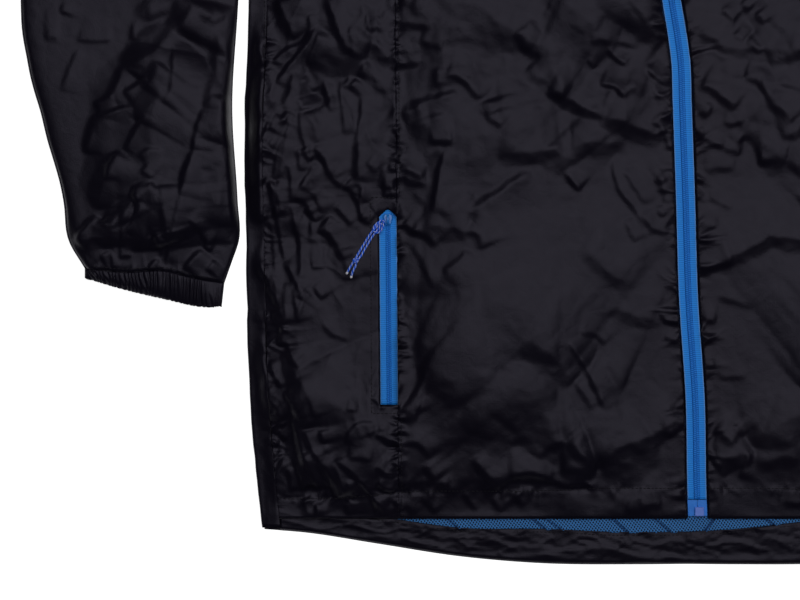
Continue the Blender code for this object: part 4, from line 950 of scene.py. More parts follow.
# The front hem is turned under: from its edge, this far in and up
HEM_UNDER = [(5.0, -0.75), (1.0, -0.75), (0.0, -0.4)]
HEM_STEPS = (0.5, 1.2, 2.6)            # rows beside a side front's hem
LEVEL_OVER_POCKET, ROWS_OVER_POCKET = 16, 170     # its rows are level up to this far over the
                                       # pocket's opening, with so many from there to the armhole
LEAST_ROW = 0.8                        # none is closer than this below the opening's ends
POINT_REACH = 11.0                     # and they bend towards its point within this distance
SIDE_SEAM_DROP, POCKET_DROP = 0.12, 1.0    # how far its edges roll down there
# Columns across half of the pocket's opening, from its edge
POCKET_STEPS = [0, 0.4, 1.2, 2.4, 3.8, 5.2, POCKET_WIDTH / 2]
# Columns of the back's lip, in from the side fold; the first is its sewn edge
LIP_STEPS = [LIP, LIP - 0.35, LIP - 0.9, LIP - 1.6, LIP - 2.6, 9.6, 7.6, 5.8, 4.2, 2.9, FOLD]


def quads(index):
    """The four-cornered faces of a grid of point numbers."""
    faces = np.stack([index[:-1, :-1], index[:-1, 1:], index[1:, 1:], index[1:, :-1]], axis=-1)
    return faces.reshape(-1, 4)


def piece(name, mesh, replaces=(), material=None, wall=0):
    """Puts a mesh on the jacket's body, in place of the nodes it dresses, with its wall in mm."""
    mesh.shade_smooth()
    if material:
        mesh.materials.append(material)
    thing = bpy.data.objects.new(name, mesh)
    bpy.context.scene.collection.objects.link(thing)
    if wall:
        solid = thing.modifiers.new("wall", "SOLIDIFY")
        solid.thickness, solid.offset = wall * MM, -1
    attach(thing, "jacket")
    if replaces:
        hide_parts(*replaces)
    return thing


def shell(name, grid, material, replaces, grain=0.0, keep=None, ring=False, wall=FABRIC,
          across=None):
    """A thin cloth piece from its outer face's points.

    `grain` turns its weave, in degrees. `across` is a share for each point or column, which its
    material reads: how near a tape's edge it is, or how deep in a crease for its painted shade.
    """
    rows, columns = grid.shape[:2]
    index = np.arange(rows * columns).reshape(rows, columns)
    faces = quads(np.concatenate([index, index[:, :1]], axis=1) if ring else index)
    if keep is not None:
        faces = faces[keep.ravel()]
    used, faces = np.unique(faces, return_inverse=True)
    faces = faces.reshape(-1, 4)
    points = placed(grid)[used]
    mesh = bpy.data.meshes.new(name)
    mesh.from_pydata(points.tolist(), [], faces.tolist())
    turn = math.radians(grain)
    plan = points[faces.ravel(), :2] / MM
    uv = plan @ np.array([[math.cos(turn), -math.sin(turn)], [math.sin(turn), math.cos(turn)]])
    mesh.uv_layers.new(name="grain").data.foreach_set("uv", uv.astype(np.float32).ravel())
    if across is not None:
        shares = np.broadcast_to(np.asarray(across, np.float32), (rows, columns)).ravel()[used]
        mesh.attributes.new("across", "FLOAT", "POINT").data.foreach_set("value", shares)
    return piece(name, mesh, replaces, material, wall)


def fold_round(inset, outward):
    """The half-round columns of a pressed fold, from the floor to its upper face."""
    columns = []
    for angle in np.linspace(-np.pi / 2, np.pi / 2, FOLD_STEPS + 2)[1:-1]:
        plan = inset + outward * (FOLD * math.cos(angle))
        columns.append(level(plan, FOLD * (1 + math.sin(angle))))
    return np.stack(columns, axis=1)


def turned_flat(grid, blend):
    """Brings a grid down to the pressed folds' height where the blend is 0."""
    grid[..., 2] = FLAT * (1 - blend) + grid[..., 2] * blend
    return grid


def in_order(half, grid):
    """A grid with its columns running from the wearer's right to their left."""
    return grid if half < 0 else grid[:, ::-1]


def rows_up(path, near_start=(), near_end=(), pitch=ROW_PITCH):
    """Shares of an edge's length: close rows up to the chest, wider ones above it."""
    at = distances(path)
    chest = np.interp(CHEST, path[:, 1], at) if path[0, 1] < CHEST < path[-1, 1] else 0
    low = shares_of(chest, pitch, near_start) * chest
    high = chest + shares_of(at[-1] - chest, UPPER_PITCH, (), near_end) * (at[-1] - chest)
    return np.concatenate([low, high[1:]]) / at[-1]


def hemmed(grid):
    """A grid whose lower edge is turned under, with the turned-up allowance showing as a step."""
    v = grid[..., 1]
    above = v - np.interp(np.abs(grid[..., 0]), *np.array(HEM_STITCH).T)
    depth = np.clip(0.35 + 0.5 * noise(grid[..., 0], 0 * v, 11.0, seed=41), 0.05, 0.8)
    step = 0.25 / (1 + np.exp(np.minimum(above, 20) / 0.7))
    grid[..., 2] += step - depth * bell(above, 1.4)
    grid[..., 2] -= 0.9 * bell(v, 0.9)
    under = [grid[:1] + (0, inward, up) for inward, up in HEM_UNDER]
    return np.concatenate([*under, grid], axis=0)


def front_grid(half, relief):
    """A centre front, from the princess seam to the zip and from the hem to the shoulder."""
    outer = np.vstack([[PRINCESS_FOOT], ARMHOLE_PATH[PRINCESS_AT:]]) * (half, 1)
    inner = ZIP_TO_NECK + (half * (ZIP_HALF + ZIP_GAP), 0)
    neck = curve(FRONT_NECK, 60)
    neck = neck[neck[:, 0] > ZIP_HALF + 0.4] * (half, 1)
    head = np.vstack([outer[-1:], neck, inner[-1:]])
    across = shares_of(FRONT_WIDTH, COLUMN_PITCH, EDGE_STEPS, EDGE_STEPS)
    up = rows_up(inner, (0.5, 1.2, 2.2))
    plan = patch(np.array([outer[0], inner[0]]), head, across, up, outer, inner)
    grid = laid(plan, relief)
    roll(grid, outer[:2])
    roll(grid, outer[1:], SHOULDER_DROP)
    roll(grid, inner, ZIP_DROP)
    return in_order(half, hemmed(grid))


def side_grid(half, relief):
    """A side front, and which of its faces are kept round the pocket's opening."""
    middle = POCKET_WIDTH / 2
    pocket = np.array(POCKET_STEPS)
    pocket = np.concatenate([pocket, POCKET_WIDTH - pocket[-2::-1]])
    edge = len(pocket)
    rest = shares_of(SIDE_WIDTH, SIDE_PITCH, EDGE_STEPS, EDGE_STEPS)[1:]
    flat_top = POCKET_V[1] + LEVEL_OVER_POCKET
    point_v = POCKET_V[1] - POCKET_POINT
    v_low = np.concatenate([np.arange(0, POCKET_V[0] - LEAST_ROW, SIDE_PITCH), HEM_STEPS,
                            np.arange(POCKET_V[0], point_v - LEAST_ROW, SIDE_PITCH), [point_v],
                            np.arange(point_v + SIDE_PITCH, flat_top, SIDE_PITCH)])
    v_low = np.unique(v_low)
    upper = np.linspace(0, 1, ROWS_OVER_POCKET)[1:]

    def out(column, v):
        base = princess_out(v)
        if column < edge:
            return base + pocket[column]
        lip = np.interp(v, SIDE_PATH[:, 1], SIDE_PATH[:, 0]) - LIP
        return base + POCKET_WIDTH + (lip - base - POCKET_WIDTH) * rest[column - edge]

    columns = []
    for column in range(edge + len(rest)):
        top = 470.0            # a first guess
        for _ in range(30):    # the column's slant and the armhole's height settle each other
            top = np.interp(-out(column, top), -SIDE_TOP[:, 0], SIDE_TOP[:, 1])
        v = np.concatenate([v_low, v_low[-1] + (top - v_low[-1]) * upper])
        line = np.column_stack([out(column, v), v])
        if column < edge:
            tent = POCKET_POINT * (1 - abs(pocket[column] - middle) / middle)
            line[:, 1] += tent * np.exp(-np.abs(v - point_v) / POINT_REACH)
        columns.append(line)
    plan = np.stack(columns[::-1], axis=1) * (half, 1)
    v_rows = np.concatenate([v_low, np.full(len(upper), np.inf)])
    grid = laid(plan, relief)
    roll(grid, plan[:, -1])
    roll(grid, plan[:, 0], SIDE_SEAM_DROP)
    roll(grid, plan[-1], SHOULDER_DROP)
    roll(grid, plan[(v_rows >= POCKET_V[0]) & (v_rows <= point_v), len(rest)], POCKET_DROP)
    keep = np.ones((grid.shape[0] - 1, grid.shape[1] - 1), bool)
    rows_in = (v_rows[:-1] >= POCKET_V[0] - 0.01) & (v_rows[:-1] < point_v - 0.01)
    keep[rows_in, len(rest):] = False
    keep = np.concatenate([np.ones((len(HEM_UNDER), keep.shape[1]), bool), keep])
    return in_order(half, hemmed(grid)), in_order(half, keep)


def sleeve_grid(half, relief):
    """A sleeve: a sheet folded along its outer edge and closed along its inner one."""
    head = ARMHOLE_PATH[SLEEVE_AT:][::-1]
    foot = curve(CUFF_SEAM, 40)
    inner = np.vstack([curve(SLEEVE_IN, 60)[:-1], ARMHOLE_PATH[:SLEEVE_AT + 1]])
    outer = curve(SLEEVE_OUT, 120)
    outer[0], outer[-1], inner[0] = foot[0], head[0], foot[-1]
    steps = np.arange(len(outer))
    ends = np.clip(steps / 8, 0, 1) * np.clip(steps[::-1] / 8, 0, 1)
    wave = 0.9 * noise(outer[:, 1], 0 * outer[:, 1], 31.0, seed=90 + half)
    outer[:, 0] += wave * ends
    across = shares_of(SLEEVE_WIDTH, SLEEVE_PITCH, (0.7, 1.8), (0.5, 1.1, 1.9))
    up = rows_up(outer, (0.5, 1.1, 2.0), (0.5, 1.1, 2.0), SLEEVE_PITCH)
    foot, head, outer, inner = (side * (half, 1) for side in (foot, head, outer, inner))
    plan = patch(foot, head, across, up, outer, inner)
    first = plan[:, 1] - plan[:, 0]
    outward = -first / np.linalg.norm(first, axis=1)[:, None]
    inset = plan.copy()
    for column, share in enumerate((1, 0.6, 0.25)):
        inset[:, column] -= outward * FOLD * share
    top = laid(inset, relief)
    turned_flat(top[:, :3], np.array([0.0, 0.35, 0.7])[None, :])
    close = bell(np.linalg.norm(plan - plan[:, -1:], axis=-1), 1.3)
    seam = FOLD + 0.25
    top[..., 2] = top[..., 2] * (1 - close) + seam * close
    roll(top, foot, 1.0, 1.0)
    roll(top, head, SHOULDER_DROP)
    last = plan.shape[1]
    sparse = np.r_[0:3, 3:last - 4:3, last - 4:last]
    below = level(inset[:, sparse], (seam - 0.3) * close[:, sparse])
    grid = np.concatenate([below[:, ::-1], fold_round(inset[:, 0], outward), top], axis=1)
    return in_order(half, grid)


def cuff_grid(half):
    """A gathered elastic cuff: a short tube of ribs, folded flat at both ends."""
    head, foot = curve(CUFF_SEAM, 60) * (half, 1), curve(CUFF_END, 60) * (half, 1)
    up = shares_of(CUFF_DEPTH, 1.3)
    plan = patch(foot, head, shares_of(CUFF_WIDTH, 0.55), up)
    along = np.linspace(0, CUFF_WIDTH, plan.shape[1])[None, :] + 0 * plan[..., 0]
    share = up[:, None] + 0 * along
    lean = (along + 1.6 * noise(along, share * 14, 17.0, seed=5) + 3.0 * (share - 0.5)
            + 2.2 * noise(along, share * 5, 8.0, seed=7))
    rib = np.abs(np.sin(np.pi * lean / RIB_PITCH)) ** 0.7
    uneven = np.clip(0.7 + 1.1 * noise(along, share * 7, 12.0, seed=6), 0.05, 1.7)
    middle = np.clip(np.minimum(share, 1 - share) / 0.18, 0, 1)
    height = (rib - 0.45) * uneven * (0.5 + 0.5 * middle) * RIB_HEIGHT
    plan[..., 1] -= 0.7 * (rib - 0.5) * (1 - share) ** 4
    ends = []
    for column, beyond in ((0, 1), (-1, -2)):
        out = plan[:, column] - plan[:, beyond]
        ends.append(out / np.linalg.norm(out, axis=1)[:, None])
    distance = np.minimum(along, CUFF_WIDTH - along)
    squeeze = np.clip(1 - distance / 6, 0, 1)[..., None]
    toward = np.where((along < CUFF_WIDTH / 2)[..., None], -ends[0][:, None], -ends[1][:, None])
    inset = plan + toward * squeeze * FOLD
    top = turned_flat(laid(inset), np.clip(distance / 8, 0, 1))
    top[..., 2] += height * np.clip(distance / 3, 0.3, 1) + 0.5 * np.sin(np.pi * share)
    near, far = (fold_round(inset[:, k], out) for k, out in zip((0, -1), ends))
    below = level(inset[:, ::-3], 0)
    return in_order(half, np.concatenate([near, top, far[:, ::-1], below], axis=1))


def back_grid(relief):
    """The back: its flat plate, and the lips that wrap over both side folds to the side seams."""
    hem = curve(BACK_HEM, 60)
    side = SIDE_PATH.copy()
    v = side[:, 1]
    wave = 0.8 * noise(v, 0 * v, 33.0, seed=88) + 0.5 * noise(v, 0 * v, 14.0, seed=89)
    side[:, 0] += wave * np.clip(v / 20, 0, 1) * np.clip((440 - v) / 20, 0, 1)
    edge = np.vstack([hem[:1], side, ARMHOLE_PATH[1:]])
    up = shares_of(distances(edge)[-1], 3.0, (0.6, 1.4))
    edge = spread(edge, up)
    neck = curve(BACK_NECK, 30)
    foot = np.vstack([hem, mirrored(hem)[-2::-1]])
    head = np.vstack([edge[-1:], neck, mirrored(neck)[-2::-1], mirrored(edge[-1:])])
    inner_edge = edge - (FOLD, 0) * (edge[:, 1:] <= UNDERARM_V)
    across = shares_of(BACK_WIDTH, 8.0, (1.0, 3.0), (1.0, 3.0))
    plate = patch(foot, head, across, up, inner_edge, mirrored(inner_edge))
    plate[:, 0], plate[:, -1] = inner_edge, mirrored(inner_edge)
    insets = np.array(LIP_STEPS)
    lips = []
    for half in (1, -1):
        plan = edge[:, None] - np.stack([insets, 0 * insets], axis=-1)[None]
        plan = plan * (half, 1)
        top = laid(plan, relief)
        away = nearest(SEAMS["side seam"], np.abs(plan[..., 0]), plan[..., 1])[0]
        top[..., 2] -= 0.08 * bell(away, EDGE_DROP_REACH)
        turned_flat(top, np.clip((insets - FOLD) / 10.0, 0, 1)[None, :])
        turn = fold_round(inner_edge * (half, 1), np.array([[half, 0.0]]))
        lips.append(np.concatenate([top, turn[:, ::-1]], axis=1))
    grid = np.concatenate([lips[0], level(plate, 0), lips[1][:, ::-1]], axis=1)
    keep = np.ones((grid.shape[0] - 1, grid.shape[1] - 1), bool)
    off_side = (edge[:-1, 1] < -7) | (edge[1:, 1] > UNDERARM_V + 1)
    lip_columns = len(insets) + FOLD_STEPS
    keep[off_side, :lip_columns] = False
    keep[off_side, -lip_columns:] = False
    return grid, keep


def back_hem_grid():
    """The turned-up back hem, from the fold at the bottom to its stitched upper edge."""
    across = np.linspace(-306, 306, 420)
    hem = curve(BACK_HEM, 90)
    low = np.interp(across, *np.vstack([mirrored(hem), hem[-2::-1]]).T)
    high = np.interp(across, *curve(TURN_UP, 90).T)
    shares = np.concatenate([[0, 0.02, 0.05, 0.1], np.linspace(0.16, 0.94, 14), [0.97, 1.0]])
    v = low + (high - low) * shares[:, None]
    x = across + 0 * v
    lean = x + 1.2 * v
    creases = (0.9 * noise(lean, v * 3.2, 40.0, seed=15) + 0.5 * noise(lean, v * 2.0, 14.0, seed=16)
               + 0.9 * np.exp(-np.abs(noise(lean, v * 2.8, 30.0, seed=17)) / 0.10)
               + 0.5 * np.exp(-np.abs(noise(x - v, v * 1.6, 13.0, seed=18)) / 0.12))
    z = 2.8 - 2.2 * bell(v - low, 1.1) + (1 - bell(v - low, 5.0)) * creases
    under_front = np.clip((v + 4) / 6, 0, 1)
    z = z * (1 - under_front) + np.minimum(z, 2.9) * under_front
    grid = level(np.stack([x, v], axis=-1), z)
    lower = level(grid[:1, :, :2] + (0, 0.8), 0.15)
    return np.concatenate([lower, grid], axis=0)


def lining_grid():
    """The mesh lining between the two hems, and how deep in a crease each of its points is: its
    painted shade.
    """
    across = np.linspace(*LINING_X, 460)
    low = np.interp(across, *curve(TURN_UP, 90).T)
    v = low - 0.8 + (LINING_TOP - low + 0.8) * np.linspace(0, 1, 24)[:, None]
    x = across + 0 * v
    rise, crease_shade = 0, 0
    for x0, x1 in LINING_CREASES:
        off = x - (x0 + (x1 - x0) * np.clip((v - low) / 14.0, 0, 1))
        rise = rise + 1.4 * np.exp(-np.abs(off) / np.where(off > 0, 4.0, 0.7))
        rise = rise - 1.2 * bell(off + 1.5, 1.1)
        # How much painted shade each crease lays on the net beside its ridge.
        crease_shade = crease_shade + bell(off + 1.0, 1.2)
    z = 2.3 + 0.3 * noise(x, v, 38.0, seed=25) + rise * np.clip((4 - v) / 6, 0, 1)
    z = np.minimum(z, 3.9 - 1.0 * np.clip((v + 1) / 4, 0, 1))
    return level(np.stack([x, v], axis=-1), z), crease_shade


def collar_grid(relief):
    """The stand collar, laid flat: its two fronts on top and its back below."""
    low, high = (np.vstack([line[line[:, 0] > ZIP_HALF + 0.4], [(ZIP_HALF + ZIP_GAP, v)]])[::-1]
                 for line, v in ((curve(FRONT_NECK, 60), NECK_V),
                                 (curve(COLLAR_FRONT_TOP, 60), COLLAR_V)))
    low = low + (0, 0.5)
    across = shares_of(COLLAR_WIDTH, 2.4, (0.5, 1.2), (0.8, 2.0))
    up = shares_of(COLLAR_DEPTH, 2.6, (0.4, 1.0), (0.5, 1.2))
    front = patch(low, high, across, up)
    back = patch(curve(BACK_NECK, 40), curve(COLLAR_BACK_TOP, 40), shares_of(90, 5.0), up)
    edge = front[:, -1]
    away = np.abs(front[..., 0] - edge[:, :1])
    front = front - (FOLD, 0) * np.exp(-(away / 2.5))[..., None]
    back[:, 0] = edge - (FOLD, 0)
    halves = []
    for half in (1, -1):
        top = turned_flat(laid(front * (half, 1), relief), np.clip(away / 6.0, 0, 1))
        roll(top, low * (half, 1), 0.8)
        roll(top, np.array([low[0], high[0]]) * (half, 1), 1.2)
        top[..., 2] -= 0.9 * bell(front[..., 1] - front[-1:, :, 1], 1.0)
        turn = fold_round(edge * (half, 1) - (half * FOLD, 0), np.array([[half, 0.0]]))
        halves.append(np.concatenate([top, turn[:, ::-1], level(back * (half, 1), 0)], axis=1))
    return np.concatenate([halves[0], halves[1][:, -2::-1]], axis=1)


# ---------------------------------------------------------------- zips

TAPE_WALL, CHAIN_TOP, ZIP_ROWS, TOOTH_LEAN = 0.6, 724, 2.0, 8


def strip_grid(line, offsets, rises):
    """Columns beside a line of (x, v), each at its own offset and height over the cloth."""
    grid = laid(np.stack([line + (offset, 0) for offset in offsets], axis=1))
    grid[..., 2] += rises
    return grid


def tape(name, line, inner, outer, half, material, replaces):
    """A zip tape from the chain outwards, with a fuller selvedge at its outer edge."""
    offsets = np.array([inner, inner + 0.8, (inner + outer) / 2, outer - 1.2, outer - 0.7,
                        outer - 0.3, outer])
    rises = np.array([0, 0, 0, 0, 0.18, 0.18, -0.25]) - ZIP_SUNK
    order = slice(None, None, half)
    return shell(name, strip_grid(line, half * offsets[order], rises[order]), material,
                 replaces, wall=TAPE_WALL, across=(offsets / outer)[order])


def teeth(name, line, reach, rise, material):
    """The coil's turns: two columns of short slanted bars that meet along the chain's middle."""
    for half, word in HALVES:
        points = strip_grid(line, [half * reach], [rise])[:, 0]
        points[:, 1] += half * TOOTH / 4
        bars(f"{name}_{word}", [points], TOOTH, (TOOTH_LONG, 2 * reach + 0.3, TOOTH_HIGH),
             material, turn=math.radians(TOOTH_LEAN * half), unevenness=0.02, seed=5)


def build_zip(materials):
    rows = np.arange(ZIP_FOOT_TOP + ZIP_GAP, ZIP_TOP, ZIP_ROWS)
    line = np.column_stack([zip_x(rows), rows])
    for half, word in HALVES:
        tape(f"front_tape_{word}", line, 0.2, ZIP_HALF, half, materials["tape"],
             [f"zip_tape_{word}"])
    low = line[rows < CHAIN_TOP]
    bed = strip_grid(low, [-CHAIN_HALF, -1.6, -0.2, 0, 0.2, 1.6, CHAIN_HALF],
                     [-0.1, 0.3, 0.35, 0.25, 0.35, 0.3, -0.1])
    shell("front_chain", bed, materials["bed"], ["zip_chain"], wall=0.5)
    teeth("front_teeth", low[1:-1], 1.12, 0.3, materials["coil"])


def build_pocket_zip(half, word, materials):
    reach = POCKET_WIDTH / 2 + 0.2
    rows = np.arange(POCKET_V[0] + ZIP_GAP, POCKET_V[1] - ZIP_GAP, ZIP_ROWS)
    line = np.column_stack([princess_out(rows) + POCKET_WIDTH / 2, rows]) * (half, 1)
    shares = np.array([-1, -0.93, -0.85, -0.35, 0, 0.35, 0.85, 0.93, 1])
    rises = np.array([-0.2, 0.15, 0, 0, 0, 0, 0, 0.15, -0.2]) - ZIP_SUNK
    shell(f"pocket_zip_tape_{word}", strip_grid(line, shares * reach, rises), materials["tape"],
          [f"pocket_tape_{word}"], wall=TAPE_WALL, across=np.abs(shares))
    bed = strip_grid(line[:-3], [-2, -1.4, -0.2, 0, 0.2, 1.4, 2],
                     [-0.5, -0.1, -0.1, -0.3, -0.1, -0.1, -0.5])
    shell(f"pocket_zip_chain_{word}", bed, materials["bed"],
          [f"pocket_chain_{word}"], wall=0.4)
    teeth(f"pocket_teeth_{word}", line[1:-8], 0.95, -0.05, materials["coil"])


# ---------------------------------------------------------------- stitches and other bars

def bars_tree():
    """Geometry nodes that lay one low rounded bar at every pitch along each line."""
    tree = bpy.data.node_groups.new("bars along lines", "GeometryNodeTree")
    for name, kind in (("Lines", "Geometry"), ("Pitch", "Float"), ("Size", "Vector"),
                       ("Turn", "Float"), ("Unevenness", "Float"), ("Seed", "Int"),
                       ("Material", "Material")):
        tree.interface.new_socket(name, in_out="INPUT", socket_type="NodeSocket" + kind)
    tree.interface.new_socket("Bars", in_out="OUTPUT", socket_type="NodeSocketGeometry")
    given = tree.nodes.new("NodeGroupInput").outputs
    lines = node(tree, "GeometryNodeMeshToCurve", {"Mesh": given["Lines"]})
    points = node(tree, "GeometryNodeCurveToPoints",
                  {"Curve": lines.outputs[0], "Length": given["Pitch"]}, mode="LENGTH")
    facing = node(tree, "FunctionNodeAlignRotationToVector",
                  {"Vector": points.outputs["Tangent"]}, axis="X")
    # A random value's number inputs are 2 and 3, its seed is 8 and its number output is 1.
    chance = node(tree, "FunctionNodeRandomValue", {2: -1.0, 3: 1.0, 8: given["Seed"]},
                  data_type="FLOAT")
    angle = node(tree, "ShaderNodeMath", {0: chance.outputs[1], 1: given["Unevenness"],
                                          2: given["Turn"]}, operation="MULTIPLY_ADD")
    spin = node(tree, "FunctionNodeAxisAngleToRotation", {"Axis": (0, 0, 1),
                                                          "Angle": angle.outputs[0]})
    rotation = node(tree, "FunctionNodeRotateRotation",
                    {"Rotation": facing.outputs[0], "Rotate By": spin.outputs[0]},
                    rotation_space="LOCAL")
    growth = node(tree, "ShaderNodeMath", {0: chance.outputs[1], 1: given["Unevenness"], 2: 1.0},
                  operation="MULTIPLY_ADD")
    size = node(tree, "ShaderNodeVectorMath", {0: given["Size"], "Scale": growth.outputs[0]},
                operation="SCALE")
    bar = node(tree, "GeometryNodeMeshUVSphere", {"Segments": 6, "Rings": 4, "Radius": 0.5})
    laid_bars = node(tree, "GeometryNodeInstanceOnPoints", {
        "Points": points.outputs["Points"], "Instance": bar.outputs["Mesh"],
        "Rotation": rotation.outputs[0], "Scale": size.outputs[0]})
    real = node(tree, "GeometryNodeRealizeInstances", {0: laid_bars.outputs[0]})
    smooth = node(tree, "GeometryNodeSetShadeSmooth", {0: real.outputs[0]})
    done = node(tree, "GeometryNodeSetMaterial", {"Geometry": smooth.outputs[0],
                                                  "Material": given["Material"]})
    node(tree, "NodeGroupOutput", {"Bars": done.outputs[0]})
    return tree


def bars(name, lines, pitch, size, material, turn=0.0, unevenness=0.12, seed=1):
    """A row of bars along each line of points (mm), as one plain mesh piece."""
    tree = bpy.data.node_groups.get("bars along lines") or bars_tree()
    points, edges = [], []
    for line in lines:
        edges += [(len(points) + k, len(points) + k + 1) for k in range(len(line) - 1)]
        points += placed(line).tolist()
    mesh = bpy.data.meshes.new(name)
    mesh.from_pydata(points, edges, [])
    maker = bpy.data.objects.new(name + "_maker", mesh)
    bpy.context.scene.collection.objects.link(maker)
    modifier = maker.modifiers.new("bars", "NODES")
    modifier.node_group = tree
    given = {"Pitch": pitch * MM, "Size": [side * MM for side in size], "Turn": turn,
             "Unevenness": unevenness, "Seed": seed, "Material": material}
    for item in tree.interface.items_tree:
        if item.name in given:
            modifier[item.identifier] = given[item.name]
    evaluated = maker.evaluated_get(bpy.context.evaluated_depsgraph_get())
    made = bpy.data.meshes.new_from_object(evaluated)
    bpy.data.objects.remove(maker)
    return piece(name, made)


def stitched(name, paths, relief, thread, seed, lift=0.1):
    """Rows of stitches on the cloth, along paths (x, v), as one piece."""
    lines = []
    for path in paths:
        path = spread(path, np.linspace(0, 1, int(distances(path)[-1] / 1.5) + 2))
        lines.append(laid(path, relief) + (0, 0, lift))
    return bars(name, lines, STITCH, STITCH_SIZE, thread, seed=seed)


def build_stitches(relief, thread):
    """Every visible row of stitches, one piece for each kind of seam."""
    made = {}
    hem = curve(HEM_STITCH, 60)
    low, high = POCKET_V
    rows = np.linspace(low - 6, high + 8, 40)
    pocket = np.column_stack([princess_out(rows) + POCKET_WIDTH + 6.5, rows])
    pocket = np.vstack([pocket[:1] - (17, 0), pocket, pocket[-1:] - (17, 0)])
    below = np.array([PRINCESS_FOOT, (princess_out(low - 10), low - 10)])
    above = np.array([(princess_out(high + 12), high + 12), PRINCESS_TOP])
    rows = np.linspace(3, NECK_V - 6, 120)
    for half, word in HALVES:
        clear = hem[:, 0] - half * zip_x(hem[:, 1]) > ZIP_HALF + 2
        lines = {
            "hem_stitches": [hem[clear & (hem[:, 0] < 303)]],
            "pocket_stitches": [pocket],
            "princess_stitches": [beside(below, -TOPSTITCH), beside(above, -TOPSTITCH)],
            "side_stitches": [SIDE_PATH[SIDE_PATH[:, 1] > 340] - (LIP - 1.6, 0)],
            "armhole_stitches": [beside(ARMHOLE_PATH[3:-3], TOPSTITCH)],
            "cuff_stitches": [beside(curve(CUFF_SEAM, 30)[2:-2], TOPSTITCH)],
        }
        for kind, paths in lines.items():
            made[f"{kind}_{word}"] = stitched(f"{kind}_{word}", [path * (half, 1) for path in paths],
                                              relief, thread, seed=11)
        beside_zip = np.column_stack([zip_x(rows) + half * (ZIP_HALF + TOPSTITCH - 0.6), rows])
        made[f"zip_stitches_{word}"] = stitched(f"zip_stitches_{word}", [beside_zip], relief,
                                                thread, seed=12)
    turn = beside(curve(TURN_UP, 90), TOPSTITCH)
    turn = level(turn[np.abs(turn[:, 0]) < 296], 3.15)
    made["turn_up_stitches"] = bars("turn_up_stitches", [turn], STITCH, STITCH_SIZE, thread,
                                    seed=13)
    return made


# ---------------------------------------------------------------- pocket sliders and their cords

# The slider's crown: its outline of one half (x, v), and its height and share of that at each step
CROWN = [(0, 4.4), (2.6, 4.1), (3.7, 2.6), (3.5, 0.6), (2.7, -1.6), (2.5, -3.4), (1.5, -4.3),
         (0, -4.4)]
CROWN_STEPS = [(0.0, 0.9), (0.25, 1.0), (1.15, 1.0), (1.5, 0.9), (1.65, 0.72)]
# Its bridge: the arch's height and v, where it springs from, and half its width and thickness
BRIDGE = [(0, 3.1), (0.9, 3.0), (1.9, 2.0), (2.3, 0.2), (2.1, -1.8), (1.2, -3.1), (0, -3.3)]
BRIDGE_FOOT, BRIDGE_HALF, BRIDGE_THICK = 1.5, 1.0, 0.55
TIP_LONG, TIP_RADIUS = 1.2, 1.05       # a cord's sealed end: half its length, and its radius


def skin(index, closed=False):
    """The faces of a tube of point numbers, a row to each ring: shut at both ends, or a loop."""
    wide = np.concatenate([index, index[:, :1]], axis=1)
    if closed:
        return quads(np.concatenate([wide, wide[:1]])).tolist()
    return quads(wide).tolist() + [index[0, ::-1].tolist(), index[-1].tolist()]


def tube(name, path, radius, material, replaces, sides=10, closed=False):
    """A round tube along points in millimetres, shut at both ends or run back into itself."""
    radius = np.broadcast_to(np.asarray(radius, float), len(path))
    ahead = np.roll(path, -1, 0) - np.roll(path, 1, 0) if closed else np.gradient(path, axis=0)
    ahead /= np.linalg.norm(ahead, axis=1)[:, None]
    side = np.cross(ahead[0], (0.0, 0.0, 1.0))
    sides_at = []
    for way in ahead:
        side = side - way * (side @ way)
        side /= np.linalg.norm(side)
        sides_at.append(side)
    sides_at = np.array(sides_at)
    up = np.cross(sides_at, ahead)
    turns = 2 * np.pi * np.arange(sides) / sides
    ring = (np.cos(turns)[None, :, None] * sides_at[:, None]
            + np.sin(turns)[None, :, None] * up[:, None])
    points = (path[:, None] + radius[:, None, None] * ring).reshape(-1, 3)
    index = np.arange(len(points)).reshape(-1, sides)
    mesh = bpy.data.meshes.new(name)
    mesh.from_pydata(placed(points).tolist(), [], [face[::-1] for face in skin(index, closed)])
    corner = np.empty(len(mesh.loops), np.int32)
    mesh.loops.foreach_get("vertex_index", corner)
    # The braid's map: around the cord, and along it in millimetres
    uv = np.column_stack([corner % sides / sides * 6.0, distances(path)[corner // sides]])
    mesh.uv_layers.new(name="braid").data.foreach_set("uv", uv.astype(np.float32).ravel())
    return piece(name, mesh, replaces, material)


def slider_place(half):
    """The pocket slider's middle, in the plan."""
    return np.array([half * (princess_out(SLIDER_V) + SLIDER_OUT), SLIDER_V])


def over(half, spots, relief, lift):
    """Places (out, down, rise) beside the slider as points over the cloth."""
    spots = np.asarray(spots, float)
    grid = laid(slider_place(half) + spots[:, :2] * (half, -1), relief)
    grid[:, 2] += lift + spots[:, 2]
    return grid


